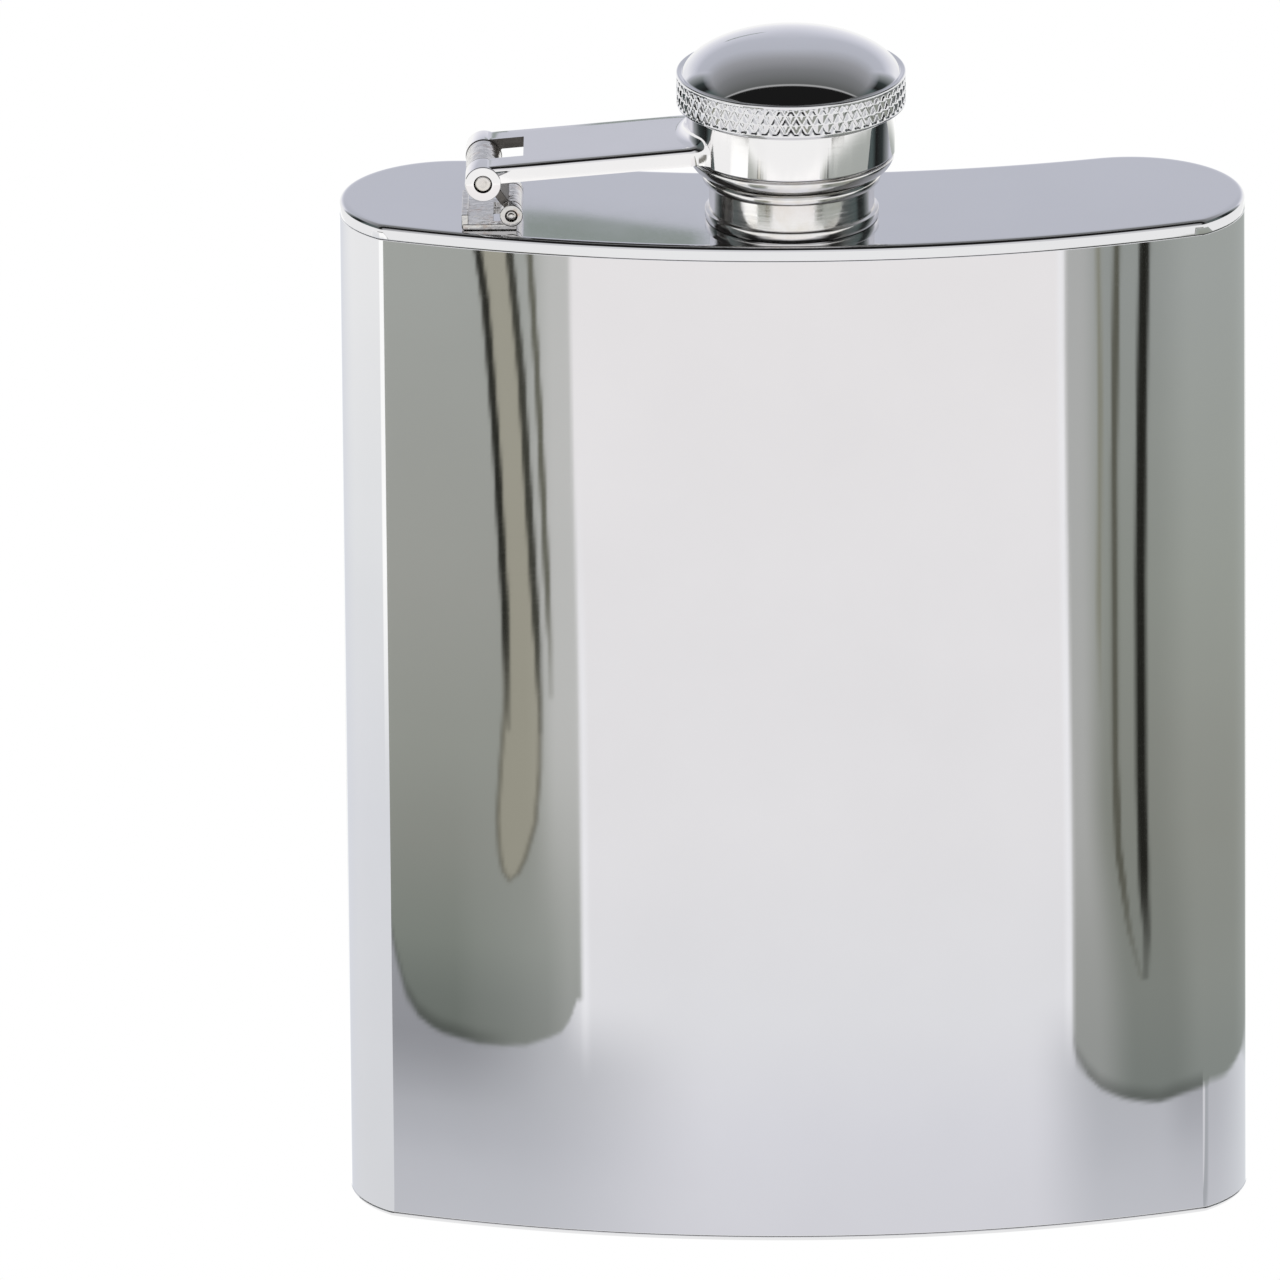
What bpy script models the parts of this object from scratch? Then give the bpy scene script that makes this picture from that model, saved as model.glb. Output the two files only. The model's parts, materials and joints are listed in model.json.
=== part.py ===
"""Hip flask: kidney-shaped metal bottle with a captive screw cap on a swing arm.

Metres, +Z up. The flask stands on z = 0 with its convex face towards -Y. The origin is
under the middle of the body. All pieces are separate objects in one collection, the
cutters are in another, and every moving piece has its origin on its joint's axis.
"""
import math

import bmesh
import bpy
from mathutils import Matrix, Vector

MM = 0.001
GAP = 0.3 * MM                     # air between pieces that would touch

# Body: the section is a convex front arc, two round ends and a concave back arc
BODY_WIDTH = 95.0 * MM
BODY_HEIGHT = 111.0 * MM           # table to the flat of the shoulder
MIDDLE_THICKNESS = 24.5 * MM
FRONT_RADIUS = 120.0 * MM
BACK_RADIUS = 118.0 * MM
END_RADIUS = 12.1 * MM
SHEET = 0.6 * MM
RIM_RADIUS = 0.5 * MM              # rounded edge of the shoulder and the base
SHOULDER_RIM = 1.5 * MM            # height of the shoulder's rim above the wrap
BASE_RIM = 0.6 * MM                # height of the base's rim below it
SKIRT_HEIGHT = 3.0 * MM            # of the plates' skirts inside the wrap
FRONT_SEGMENTS = 18
END_SEGMENTS = (5, 8, 2)           # crease to side, side to back, back to the hollow
BACK_SEGMENTS = 14
RIM_SEGMENTS = 3

# Neck, heights above the shoulder
NECK_FROM_FRONT = 10.4 * MM        # neck axis behind the front of the body
NECK_BORE = 7.2 * MM
NECK_RADIUS = 8.7 * MM
NECK_SPIGOT_RADIUS = 8.0 * MM
NECK_SPIGOT_LENGTH = 1.6 * MM
NECK_FOOT_RADIUS = 9.1 * MM
NECK_FOOT_TOP = 1.1 * MM
BEAD_RADIUS = 9.4 * MM
BEAD_MIDDLE = 4.6 * MM
BEAD_HALF_HEIGHT = 0.7 * MM
NECK_TOP = 11.3 * MM
NECK_THREAD_ROOT = 7.9 * MM
THREAD_DEPTH = 0.4 * MM
THREAD_PITCH = 2.0 * MM
NECK_THREAD_BOTTOM = 5.8 * MM
NECK_THREAD_TOP = 10.7 * MM
THREAD_FLATNESS = 0.7              # power of the ridge's cosine, 0 for a square thread
NECK_THREAD_LEVELS = 6             # rings of vertices in a pitch
LINER_THREAD_LEVELS = 5

# Cap, heights above the shoulder
LINER_BORE = 9.4 * MM
LINER_RADIUS = 10.12 * MM
LINER_BOTTOM = 5.8 * MM
LINER_STEP = 7.4 * MM              # seat of the retaining ring below this height
LINER_STEP_RADIUS = 9.85 * MM
LINER_FLANGE_RADIUS = 11.0 * MM
LINER_FLANGE_BOTTOM = 13.4 * MM
LINER_TOP = 14.4 * MM
LINER_THREAD_DEPTH = 0.25 * MM
RING_RADIUS = 10.75 * MM
RING_TOP = LINER_STEP - GAP
RING_TAPER_TOP = 6.6 * MM
RING_FOOT_RADIUS = 10.3 * MM
SEAL_RADIUS = 9.0 * MM
SEAL_BOTTOM = NECK_TOP + GAP
SEAL_TOP = LINER_FLANGE_BOTTOM - GAP
KNURL_RADIUS = 12.0 * MM
KNURL_BOTTOM = 12.5 * MM
KNURL_TOP = 16.1 * MM
KNURL_CHAMFER = 0.3 * MM
DOME_BASE_RADIUS = 11.4 * MM
DOME_HEIGHT = 3.7 * MM
DOME_DROP = 0.99                   # share of the height lost at the edge, before the root
DOME_POWER = 2.4
CAP_WALL = 0.6 * MM
DOME_SEGMENTS = 7

# Swing arm
COLLAR_BORE = 10.45 * MM
COLLAR_RADIUS = 10.95 * MM
COLLAR_BOTTOM = LINER_STEP
COLLAR_TOP = KNURL_BOTTOM - GAP
ARM_WIDTH = 11.9 * MM
ARM_FLANGE = 1.9 * MM              # height of the turned-down sides
ARM_SHEET = 0.6 * MM
ARM_EDGE_RADIUS = 0.55 * MM
ARM_SLOPE = math.radians(5.0)
NOTCH_LENGTH = 4.2 * MM            # clears the link's eye
KNUCKLE_PROUD = 0.1 * MM           # the rolled knuckles stand out of the strap

# Hinge: two parallel pins along Y
ARM_PIN_X = -32.2 * MM
ARM_PIN_Z = 5.7 * MM               # above the shoulder
BRACKET_PIN_X = -29.3 * MM
BRACKET_PIN_Z = 1.6 * MM
ARM_PIN_RADIUS = 0.85 * MM
ARM_KNUCKLE_RADIUS = 1.9 * MM
BRACKET_PIN_RADIUS = 0.55 * MM
BRACKET_KNUCKLE_RADIUS = 1.2 * MM
LINK_WIDTH = 5.6 * MM
LINK_THICKNESS = 0.9 * MM
LINK_EYE_RADIUS = 1.85 * MM
BRACKET_WIDTH = 8.4 * MM           # stays on the flat of the shoulder
BRACKET_SHEET = 0.6 * MM
BRACKET_LEFT = -34.4 * MM
BRACKET_LIP_TOP = 1.7 * MM
BRACKET_NOTCH_REACH = 1.9 * MM     # room round the lower pin for the link's eye

ROUND_STEPS = 36                   # facets of the neck and the cap
PIN_STEPS = 16
SHEET_SHARP = 12                   # edges sharper than this many degrees stay sharp
EDGE_SHARP = 30
THREAD_SHARP = 50

END_X = BODY_WIDTH / 2 - END_RADIUS
BACK_CENTRE = MIDDLE_THICKNESS + BACK_RADIUS
END_DEPTH = BACK_CENTRE - math.sqrt((BACK_RADIUS + END_RADIUS) ** 2 - END_X ** 2)
BODY_DEPTH = END_DEPTH + END_RADIUS
CAP_OVERHANG = KNURL_RADIUS - NECK_FROM_FRONT
FRONT_Y = (CAP_OVERHANG - BODY_DEPTH) / 2      # centres the whole flask on y = 0
NECK_Y = FRONT_Y + NECK_FROM_FRONT
NECK_AXIS = (0, NECK_Y)
ARM_PIN = Vector((ARM_PIN_X, NECK_Y, BODY_HEIGHT + ARM_PIN_Z))
BRACKET_PIN = Vector((BRACKET_PIN_X, NECK_Y, BODY_HEIGHT + BRACKET_PIN_Z))

POLISHED = (0.80, 0.80, 0.82)
CAST_GREY = (0.68, 0.68, 0.70)


# ---------------------------------------------------------------- scene and materials

def clear_scene():
    for obj in list(bpy.data.objects):
        bpy.data.objects.remove(obj, do_unlink=True)


def new_collection(name):
    collection = bpy.data.collections.new(name)
    bpy.context.scene.collection.children.link(collection)
    return collection


clear_scene()
PARTS = new_collection("hip_flask")
CUTTERS = new_collection("cutters")


def make_material(name, colour, metallic, roughness):
    material = bpy.data.materials.new(name)
    material.use_nodes = True
    shader = material.node_tree.nodes["Principled BSDF"]
    shader.inputs["Base Color"].default_value = (*colour, 1.0)
    shader.inputs["Metallic"].default_value = metallic
    shader.inputs["Roughness"].default_value = roughness
    return material


# ------------------------------------------------------------------------- mesh helpers

def add_object(name, mesh, collection=PARTS):
    obj = bpy.data.objects.new(name, mesh)
    collection.objects.link(obj)
    return obj


def mesh_from(bm, name):
    mesh = bpy.data.meshes.new(name)
    bmesh.ops.recalc_face_normals(bm, faces=bm.faces)
    bm.to_mesh(mesh)
    bm.free()
    return mesh


def apply_modifiers(obj):
    bpy.context.view_layer.update()
    evaluated = obj.evaluated_get(bpy.context.evaluated_depsgraph_get())
    mesh = bpy.data.meshes.new_from_object(evaluated)
    obj.modifiers.clear()
    obj.data = mesh
    return obj


def smooth_round(obj, angle):
    obj.data.shade_smooth()
    obj.data.set_sharp_from_angle(angle=math.radians(angle))


def turned(name, profile, axis, steps=ROUND_STEPS, closed=True, collection=PARTS):
    """Turn (radius, height) points about a vertical axis. They run down the outer side."""
    bm = bmesh.new()
    verts = [bm.verts.new((radius, 0, height)) for radius, height in profile]
    for first, second in zip(verts, verts[1:]):
        bm.edges.new((first, second))
    if closed:
        bm.edges.new((verts[-1], verts[0]))
    mesh = bpy.data.meshes.new(name)
    bm.to_mesh(mesh)
    bm.free()
    obj = add_object(name, mesh, collection)
    screw = obj.modifiers.new("turn", "SCREW")
    screw.axis = "Z"
    screw.steps = steps
    screw.render_steps = steps
    screw.use_merge_vertices = True
    screw.merge_threshold = 0.00001
    obj.location = (*axis, 0)
    return apply_modifiers(obj)


def cylinder_y(name, radius, half_length, collection=PARTS, at=(0, 0, 0)):
    """A cylinder along Y, centred on a point."""
    bm = bmesh.new()
    bmesh.ops.create_cone(bm, cap_ends=True, segments=PIN_STEPS, radius1=radius,
                          radius2=radius, depth=2 * half_length)
    bmesh.ops.rotate(bm, verts=bm.verts, matrix=Matrix.Rotation(math.pi / 2, 3, "X"))
    bmesh.ops.translate(bm, verts=bm.verts, vec=at)
    return add_object(name, mesh_from(bm, name), collection)


def box(name, low, high, collection=PARTS):
    """A box between two corners, with its origin at the scene's origin."""
    bm = bmesh.new()
    bmesh.ops.create_cube(bm, size=1.0)
    size = Vector(high) - Vector(low)
    bmesh.ops.scale(bm, verts=bm.verts, vec=size)
    bmesh.ops.translate(bm, verts=bm.verts, vec=(Vector(low) + Vector(high)) / 2)
    return add_object(name, mesh_from(bm, name), collection)


def boolean(obj, other, operation):
    """Cut or join another object and leave it as a hidden cutter."""
    obj.modifiers.new("flat_faces", "TRIANGULATE")
    modifier = obj.modifiers.new(operation.lower(), "BOOLEAN")
    modifier.operation = operation
    modifier.object = other
    apply_modifiers(obj)
    for collection in list(other.users_collection):
        collection.objects.unlink(other)
    CUTTERS.objects.link(other)
    other.hide_render = True
    other.display_type = "WIRE"


def cut(obj, cutter):
    boolean(obj, cutter, "DIFFERENCE")


def join(obj, other):
    boolean(obj, other, "UNION")


def finish_at(obj, point, material):
    """Give a piece that was made about its pin its material and its place."""
    obj.data.materials.append(material)
    smooth_round(obj, EDGE_SHARP)
    obj.location = point


# ---------------------------------------------------------------------- body outline

def circle_crossing(first, first_radius, second, second_radius):
    """The outer crossing of two circles, given as (x, depth)."""
    gap = second - first
    distance = gap.length
    along = (first_radius ** 2 - second_radius ** 2 + distance ** 2) / (2 * distance)
    across = math.sqrt(first_radius ** 2 - along ** 2)
    unit = gap / distance
    side = Vector((-unit.y, unit.x))
    base = first + unit * along
    return max(base + side * across, base - side * across, key=lambda point: point.x)


def arc(centre, radius, start, end, segments):
    """Points on an arc, without its last point."""
    points = []
    for index in range(segments):
        angle = start + (end - start) * index / segments
        points.append(centre + Vector((math.cos(angle), math.sin(angle))) * radius)
    return points


def body_outline(inset):
    """The body's section as (x, y) points, counter-clockwise, moved inwards by inset."""
    front = Vector((0, FRONT_RADIUS))
    end = Vector((END_X, END_DEPTH))
    back = Vector((0, BACK_CENTRE))
    front_radius = FRONT_RADIUS - inset
    end_radius = END_RADIUS - inset
    crease = circle_crossing(front, front_radius, end, end_radius)
    to_crease = crease - front
    crease_angle = math.atan2(to_crease.y, to_crease.x)
    end_start = math.atan2(*reversed(crease - end))
    to_back = math.atan2(*reversed(back - end))
    right = arc(front, front_radius, -math.pi / 2, crease_angle, FRONT_SEGMENTS // 2)
    stations = (end_start, 0, math.pi / 2, to_back)
    for start, finish, segments in zip(stations, stations[1:], END_SEGMENTS):
        right += arc(end, end_radius, start, finish, segments)
    right += arc(back, BACK_RADIUS + inset, to_back - math.pi, -math.pi / 2,
                 BACK_SEGMENTS // 2)
    right.append(Vector((0, MIDDLE_THICKNESS - inset)))
    left = [Vector((-point.x, point.y)) for point in reversed(right[1:-1])]
    return [(point.x, point.y + FRONT_Y) for point in right + left]


def loft(name, rings):
    """A closed solid through (inset, height) rings, capped at the first and the last."""
    bm = bmesh.new()
    loops = []
    for inset, height in rings:
        loops.append([bm.verts.new((x, y, height)) for x, y in body_outline(inset)])
    count = len(loops[0])
    for lower, upper in zip(loops, loops[1:]):
        for index in range(count):
            following = (index + 1) % count
            bm.faces.new((lower[index], lower[following], upper[following], upper[index]))
    bm.faces.new(loops[0])
    bm.faces.new(loops[-1])
    return add_object(name, mesh_from(bm, name))


# ------------------------------------------------------------------------ body pieces

def make_body_wrap(material):
    """The bent sheet that makes the front, the ends and the back."""
    low = BASE_RIM + GAP
    high = BODY_HEIGHT - SHOULDER_RIM - GAP
    bm = bmesh.new()
    verts = [bm.verts.new((x, y, low)) for x, y in body_outline(0)]
    edges = [bm.edges.new((a, b)) for a, b in zip(verts, verts[1:] + verts[:1])]
    grown = bmesh.ops.extrude_edge_only(bm, edges=edges)["geom"]
    top = [item for item in grown if isinstance(item, bmesh.types.BMVert)]
    bmesh.ops.translate(bm, verts=top, vec=(0, 0, high - low))
    wrap = add_object("body_wrap", mesh_from(bm, "body_wrap"))
    solid = wrap.modifiers.new("sheet", "SOLIDIFY")
    solid.thickness = SHEET
    solid.offset = -1
    solid.use_even_offset = True
    apply_modifiers(wrap)
    wrap.data.materials.append(material)
    smooth_round(wrap, SHEET_SHARP)
    return wrap


def pan_rings(rim_height):
    """Rings of a pressed plate with a rounded rim and a skirt, up from its flat at 0."""
    rings = []
    for index in range(RIM_SEGMENTS + 1):
        angle = math.pi / 2 * index / RIM_SEGMENTS
        rings.append((RIM_RADIUS * (1 - math.sin(angle)), RIM_RADIUS * (1 - math.cos(angle))))
    skirt_outside = SHEET + GAP
    skirt_inside = skirt_outside + SHEET
    skirt_end = rim_height + SKIRT_HEIGHT
    rings += [(0, rim_height), (skirt_outside, rim_height), (skirt_outside, skirt_end),
              (skirt_inside, skirt_end), (skirt_inside, SHEET)]
    return rings


def make_base_plate(material):
    base = loft("base_plate", pan_rings(BASE_RIM))
    base.data.materials.append(material)
    smooth_round(base, EDGE_SHARP)
    return base


def make_shoulder_plate(material):
    """The same pressing turned over, with the neck's hole."""
    rings = [(inset, BODY_HEIGHT - height) for inset, height in pan_rings(SHOULDER_RIM)]
    shoulder = loft("shoulder_plate", rings)
    hole_radius = NECK_SPIGOT_RADIUS + GAP
    below = BODY_HEIGHT - 2 * SHEET
    above = BODY_HEIGHT + SHEET
    hole = turned("neck_hole_cutter", [(0, above), (hole_radius, above),
                                       (hole_radius, below), (0, below)],
                  NECK_AXIS, closed=False, collection=CUTTERS)
    cut(shoulder, hole)
    shoulder.data.materials.append(material)
    smooth_round(shoulder, EDGE_SHARP)
    return shoulder


# ------------------------------------------------------------------------ neck and cap

def above_shoulder(profile):
    return [(radius, BODY_HEIGHT + height) for radius, height in profile]


def half_bead(radius, bulge, middle, half_height, segments=4):
    """Points down a round bead that stands out from a radius to radius + bulge."""
    points = []
    for index in range(segments + 1):
        angle = math.pi / 2 - math.pi * index / segments
        points.append((radius + bulge * math.cos(angle), middle + half_height * math.sin(angle)))
    return points


def levels(top, bottom, step):
    """Heights from top to bottom, evenly spaced about a step apart."""
    count = max(1, round((top - bottom) / step))
    return [top + (bottom - top) * index / count for index in range(count + 1)]


def raise_thread(obj, root, depth, top, bottom, sign):
    """Move the vertices at the root radius along a helix, outwards (+1) or inwards (-1)."""
    nearly = 0.02 * MM
    for vertex in obj.data.vertices:
        radius = math.hypot(vertex.co.x, vertex.co.y)
        height = vertex.co.z - BODY_HEIGHT
        if abs(radius - root) > nearly or not bottom < height < top:
            continue
        turn = math.atan2(vertex.co.y, vertex.co.x) / (2 * math.pi)
        phase = (height / THREAD_PITCH - turn) % 1.0
        ridge = max(0.0, math.cos(2 * math.pi * phase)) ** THREAD_FLATNESS
        fade = min(1.0, (height - bottom) / THREAD_PITCH, (top - height) / THREAD_PITCH)
        scale = (radius + sign * depth * ridge * fade) / radius
        vertex.co.x *= scale
        vertex.co.y *= scale
    obj.data.update()


def make_neck(material):
    """The spout: thread, bead, plain neck, foot and a spigot through the shoulder."""
    profile = [(NECK_BORE, NECK_TOP), (NECK_THREAD_ROOT - GAP, NECK_TOP)]
    profile.append((NECK_THREAD_ROOT, NECK_TOP - GAP))
    thread = levels(NECK_THREAD_TOP, NECK_THREAD_BOTTOM, THREAD_PITCH / NECK_THREAD_LEVELS)
    profile += [(NECK_THREAD_ROOT, height) for height in thread]
    profile.append((NECK_THREAD_ROOT, BEAD_MIDDLE + BEAD_HALF_HEIGHT))
    profile += half_bead(NECK_RADIUS, BEAD_RADIUS - NECK_RADIUS, BEAD_MIDDLE, BEAD_HALF_HEIGHT)
    profile += [(NECK_RADIUS, NECK_FOOT_TOP + (NECK_FOOT_RADIUS - NECK_RADIUS)),
                (NECK_FOOT_RADIUS, NECK_FOOT_TOP), (NECK_FOOT_RADIUS, GAP),
                (NECK_SPIGOT_RADIUS, GAP), (NECK_SPIGOT_RADIUS, -NECK_SPIGOT_LENGTH),
                (NECK_BORE, -NECK_SPIGOT_LENGTH)]
    neck = turned("neck", above_shoulder(profile), NECK_AXIS)
    raise_thread(neck, NECK_THREAD_ROOT, THREAD_DEPTH, NECK_THREAD_TOP, NECK_THREAD_BOTTOM, 1)
    neck.data.materials.append(material)
    smooth_round(neck, THREAD_SHARP)
    return neck


def dome_height(share):
    """Height of the dome above the shoulder, from its middle (0) to its edge (1)."""
    return KNURL_TOP + DOME_HEIGHT * math.sqrt(1 - DOME_DROP * share ** DOME_POWER)


def make_cap_shell(material):
    """The domed top with the gripping rim, rolled in under the liner's flange."""
    shares = [math.sin(math.pi / 2 * index / DOME_SEGMENTS)
              for index in range(DOME_SEGMENTS + 1)]
    dome = [(DOME_BASE_RADIUS * share, dome_height(share)) for share in shares]
    outside = dome + [(DOME_BASE_RADIUS, KNURL_TOP),
                      (KNURL_RADIUS - KNURL_CHAMFER, KNURL_TOP),
                      (KNURL_RADIUS, KNURL_TOP - KNURL_CHAMFER),
                      (KNURL_RADIUS, KNURL_BOTTOM + KNURL_CHAMFER),
                      (KNURL_RADIUS - KNURL_CHAMFER, KNURL_BOTTOM)]
    lip_radius = LINER_RADIUS + GAP
    inner_radius = LINER_FLANGE_RADIUS + GAP
    inside = [(lip_radius, KNURL_BOTTOM), (lip_radius, KNURL_BOTTOM + CAP_WALL),
              (inner_radius, KNURL_BOTTOM + CAP_WALL),
              (inner_radius, dome_height(1) - CAP_WALL)]
    for radius, height in reversed(dome[:-1]):
        inside.append((radius * inner_radius / DOME_BASE_RADIUS, height - CAP_WALL))
    shell = turned("cap_shell", above_shoulder(outside + inside), NECK_AXIS, closed=False)
    shell.data.materials.append(material)
    smooth_round(shell, EDGE_SHARP)
    return shell


def make_cap_liner(material):
    """The threaded cup inside the cap, which passes down through the arm's collar."""
    crest = LINER_BORE
    root = crest + LINER_THREAD_DEPTH
    thread_top = SEAL_BOTTOM - GAP
    thread_bottom = LINER_STEP
    inside_top = LINER_FLANGE_BOTTOM
    outside = [(0, LINER_TOP), (LINER_FLANGE_RADIUS, LINER_TOP),
               (LINER_FLANGE_RADIUS, LINER_FLANGE_BOTTOM),
               (LINER_RADIUS, LINER_FLANGE_BOTTOM), (LINER_RADIUS, LINER_STEP),
               (LINER_STEP_RADIUS, LINER_STEP), (LINER_STEP_RADIUS, LINER_BOTTOM),
               (crest, LINER_BOTTOM), (crest, thread_bottom - GAP)]
    thread = levels(thread_top, thread_bottom, THREAD_PITCH / LINER_THREAD_LEVELS)
    inside = [(root, height) for height in reversed(thread)]
    inside += [(root, inside_top), (0, inside_top)]
    liner = turned("cap_liner", above_shoulder(outside + inside), NECK_AXIS, closed=False)
    raise_thread(liner, root, LINER_THREAD_DEPTH, thread_top, thread_bottom, -1)
    liner.data.materials.append(material)
    smooth_round(liner, THREAD_SHARP)
    return liner


def make_cap_seal(material):
    """The soft disc that closes on the neck's rim."""
    edge = GAP
    profile = [(0, SEAL_TOP), (SEAL_RADIUS - edge, SEAL_TOP), (SEAL_RADIUS, SEAL_TOP - edge),
               (SEAL_RADIUS, SEAL_BOTTOM + edge), (SEAL_RADIUS - edge, SEAL_BOTTOM),
               (0, SEAL_BOTTOM)]
    seal = turned("cap_seal", above_shoulder(profile), NECK_AXIS, closed=False)
    seal.data.materials.append(material)
    smooth_round(seal, EDGE_SHARP)
    return seal


def make_retaining_ring(material):
    """The tapered ring on the liner's lower end that keeps the arm's collar on the cap."""
    bore = LINER_STEP_RADIUS + GAP
    edge = GAP / 2
    profile = [(bore, RING_TOP), (RING_RADIUS - edge, RING_TOP), (RING_RADIUS, RING_TOP - edge),
               (RING_RADIUS, RING_TAPER_TOP), (RING_FOOT_RADIUS, LINER_BOTTOM),
               (bore, LINER_BOTTOM)]
    ring = turned("retaining_ring", above_shoulder(profile), NECK_AXIS)
    ring.data.materials.append(material)
    smooth_round(ring, EDGE_SHARP)
    return ring


# ------------------------------------------------------------------- arm, link, hinge
# These pieces are modelled about their own pin, at the scene's origin, and then moved.

def channel(name, length, width, depth, radius, collection=PARTS):
    """A bar along +X with its top at z = 0 and rounded long top edges."""
    bm = bmesh.new()
    bmesh.ops.create_cube(bm, size=1.0)
    bmesh.ops.scale(bm, verts=bm.verts, vec=(length, width, depth))
    bmesh.ops.translate(bm, verts=bm.verts, vec=(length / 2, 0, -depth / 2))
    long_top = [edge for edge in bm.edges
                if all(vertex.co.z > -depth / 4 for vertex in edge.verts)
                and abs(edge.verts[0].co.y - edge.verts[1].co.y) < MM]
    bmesh.ops.bevel(bm, geom=long_top, offset=radius, segments=3, affect="EDGES",
                    profile=0.5)
    return add_object(name, mesh_from(bm, name), collection)


def tilt_onto_arm(obj, along, down):
    """Put a bar made along +X onto the arm's sloping top, from above its pin outwards."""
    top = Matrix.Translation((0, 0, ARM_KNUCKLE_RADIUS))
    slope = Matrix.Rotation(-ARM_SLOPE, 4, "Y")
    obj.data.transform(top @ slope @ Matrix.Translation((along, 0, -down)))


def make_swing_arm(material):
    """The strap with turned-down sides, its two knuckles and the collar round the cap."""
    reach = -ARM_PIN_X - COLLAR_BORE * math.cos(math.asin(ARM_WIDTH / 2 / COLLAR_RADIUS))
    strap_length = reach / math.cos(ARM_SLOPE)
    arm = channel("swing_arm", strap_length, ARM_WIDTH, ARM_FLANGE, ARM_EDGE_RADIUS)
    tilt_onto_arm(arm, 0, KNUCKLE_PROUD)
    hollow = channel("arm_hollow_cutter", strap_length * 2, ARM_WIDTH - 2 * ARM_SHEET,
                     2 * ARM_FLANGE, ARM_EDGE_RADIUS / 2, CUTTERS)
    tilt_onto_arm(hollow, -strap_length / 2, ARM_SHEET + KNUCKLE_PROUD)
    cut(arm, hollow)

    half = ARM_WIDTH / 2 + KNUCKLE_PROUD
    join(arm, cylinder_y("arm_knuckles", ARM_KNUCKLE_RADIUS, half))
    collar_axis = (-ARM_PIN_X, 0)
    top = COLLAR_TOP - ARM_PIN_Z
    bottom = COLLAR_BOTTOM - ARM_PIN_Z
    collar = turned("arm_collar", [(0, top), (COLLAR_RADIUS, top), (COLLAR_RADIUS, bottom),
                                   (0, bottom)], collar_axis, closed=False)
    join(arm, collar)
    bore = turned("collar_bore_cutter", [(0, top + MM), (COLLAR_BORE, top + MM),
                                         (COLLAR_BORE, bottom - MM), (0, bottom - MM)],
                  collar_axis, closed=False, collection=CUTTERS)
    cut(arm, bore)

    inner = LINK_WIDTH / 2 + GAP
    around = 2 * ARM_KNUCKLE_RADIUS
    cut(arm, box("arm_notch_cutter", (-around, -inner, -around),
                 (NOTCH_LENGTH, inner, around), CUTTERS))
    cut(arm, cylinder_y("arm_pin_cutter", ARM_PIN_RADIUS + GAP, ARM_WIDTH, CUTTERS))
    finish_at(arm, ARM_PIN, material)
    return arm


def make_hinge_link(material):
    """The short plate between the two pins, with an eye at each end."""
    half = LINK_WIDTH / 2
    run = ARM_PIN - BRACKET_PIN
    link = box("hinge_link", (0, -half, -LINK_THICKNESS / 2),
               (run.length, half, LINK_THICKNESS / 2))
    link.data.transform(Matrix.Rotation(-math.atan2(run.z, run.x), 4, "Y"))
    join(link, cylinder_y("link_lower_eye", BRACKET_KNUCKLE_RADIUS, half + KNUCKLE_PROUD))
    join(link, cylinder_y("link_upper_eye", LINK_EYE_RADIUS, half + KNUCKLE_PROUD, at=run))
    cut(link, cylinder_y("link_lower_cutter", BRACKET_PIN_RADIUS + GAP, LINK_WIDTH, CUTTERS))
    cut(link, cylinder_y("link_upper_cutter", ARM_PIN_RADIUS + GAP, LINK_WIDTH, CUTTERS, run))
    finish_at(link, BRACKET_PIN, material)
    return link


def make_pin(name, point, radius, length, material):
    """A plain hinge pin along Y."""
    pin = cylinder_y(name, radius, length / 2)
    finish_at(pin, point, material)
    return pin


def make_hinge_bracket(material):
    """The foot on the shoulder: a plate, two knuckles and an upturned lip."""
    half = BRACKET_WIDTH / 2
    left = BRACKET_LEFT - BRACKET_PIN_X
    foot_low = GAP - BRACKET_PIN_Z
    foot_high = foot_low + BRACKET_SHEET
    bracket = box("hinge_bracket", (left, -half, foot_low),
                  (BRACKET_KNUCKLE_RADIUS / 2, half, foot_high))
    lip_half = half - KNUCKLE_PROUD
    join(bracket, box("bracket_lip", (left - KNUCKLE_PROUD, -lip_half, foot_low + KNUCKLE_PROUD),
                      (left + BRACKET_SHEET, lip_half, BRACKET_LIP_TOP - BRACKET_PIN_Z)))
    join(bracket, cylinder_y("bracket_knuckles", BRACKET_KNUCKLE_RADIUS,
                             half + KNUCKLE_PROUD))
    inner = LINK_WIDTH / 2 + GAP + KNUCKLE_PROUD
    reach = BRACKET_NOTCH_REACH
    cut(bracket, box("bracket_notch_cutter", (-reach, -inner, -2 * reach),
                     (reach, inner, 2 * reach), CUTTERS))
    cut(bracket, cylinder_y("bracket_pin_cutter", BRACKET_PIN_RADIUS + GAP, ARM_WIDTH,
                            CUTTERS))
    finish_at(bracket, BRACKET_PIN, material)
    return bracket


def parent_to_joint(name, point, parent, children):
    """An empty on a joint's axis that carries the moving pieces."""
    empty = add_object(name, None)
    empty.empty_display_size = 5 * MM
    empty.location = point
    bpy.context.view_layer.update()
    for child in children:
        child.parent = empty
        child.matrix_parent_inverse = empty.matrix_world.inverted()
    if parent:
        empty.parent = parent
        empty.matrix_parent_inverse = parent.matrix_world.inverted()
    return empty


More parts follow.
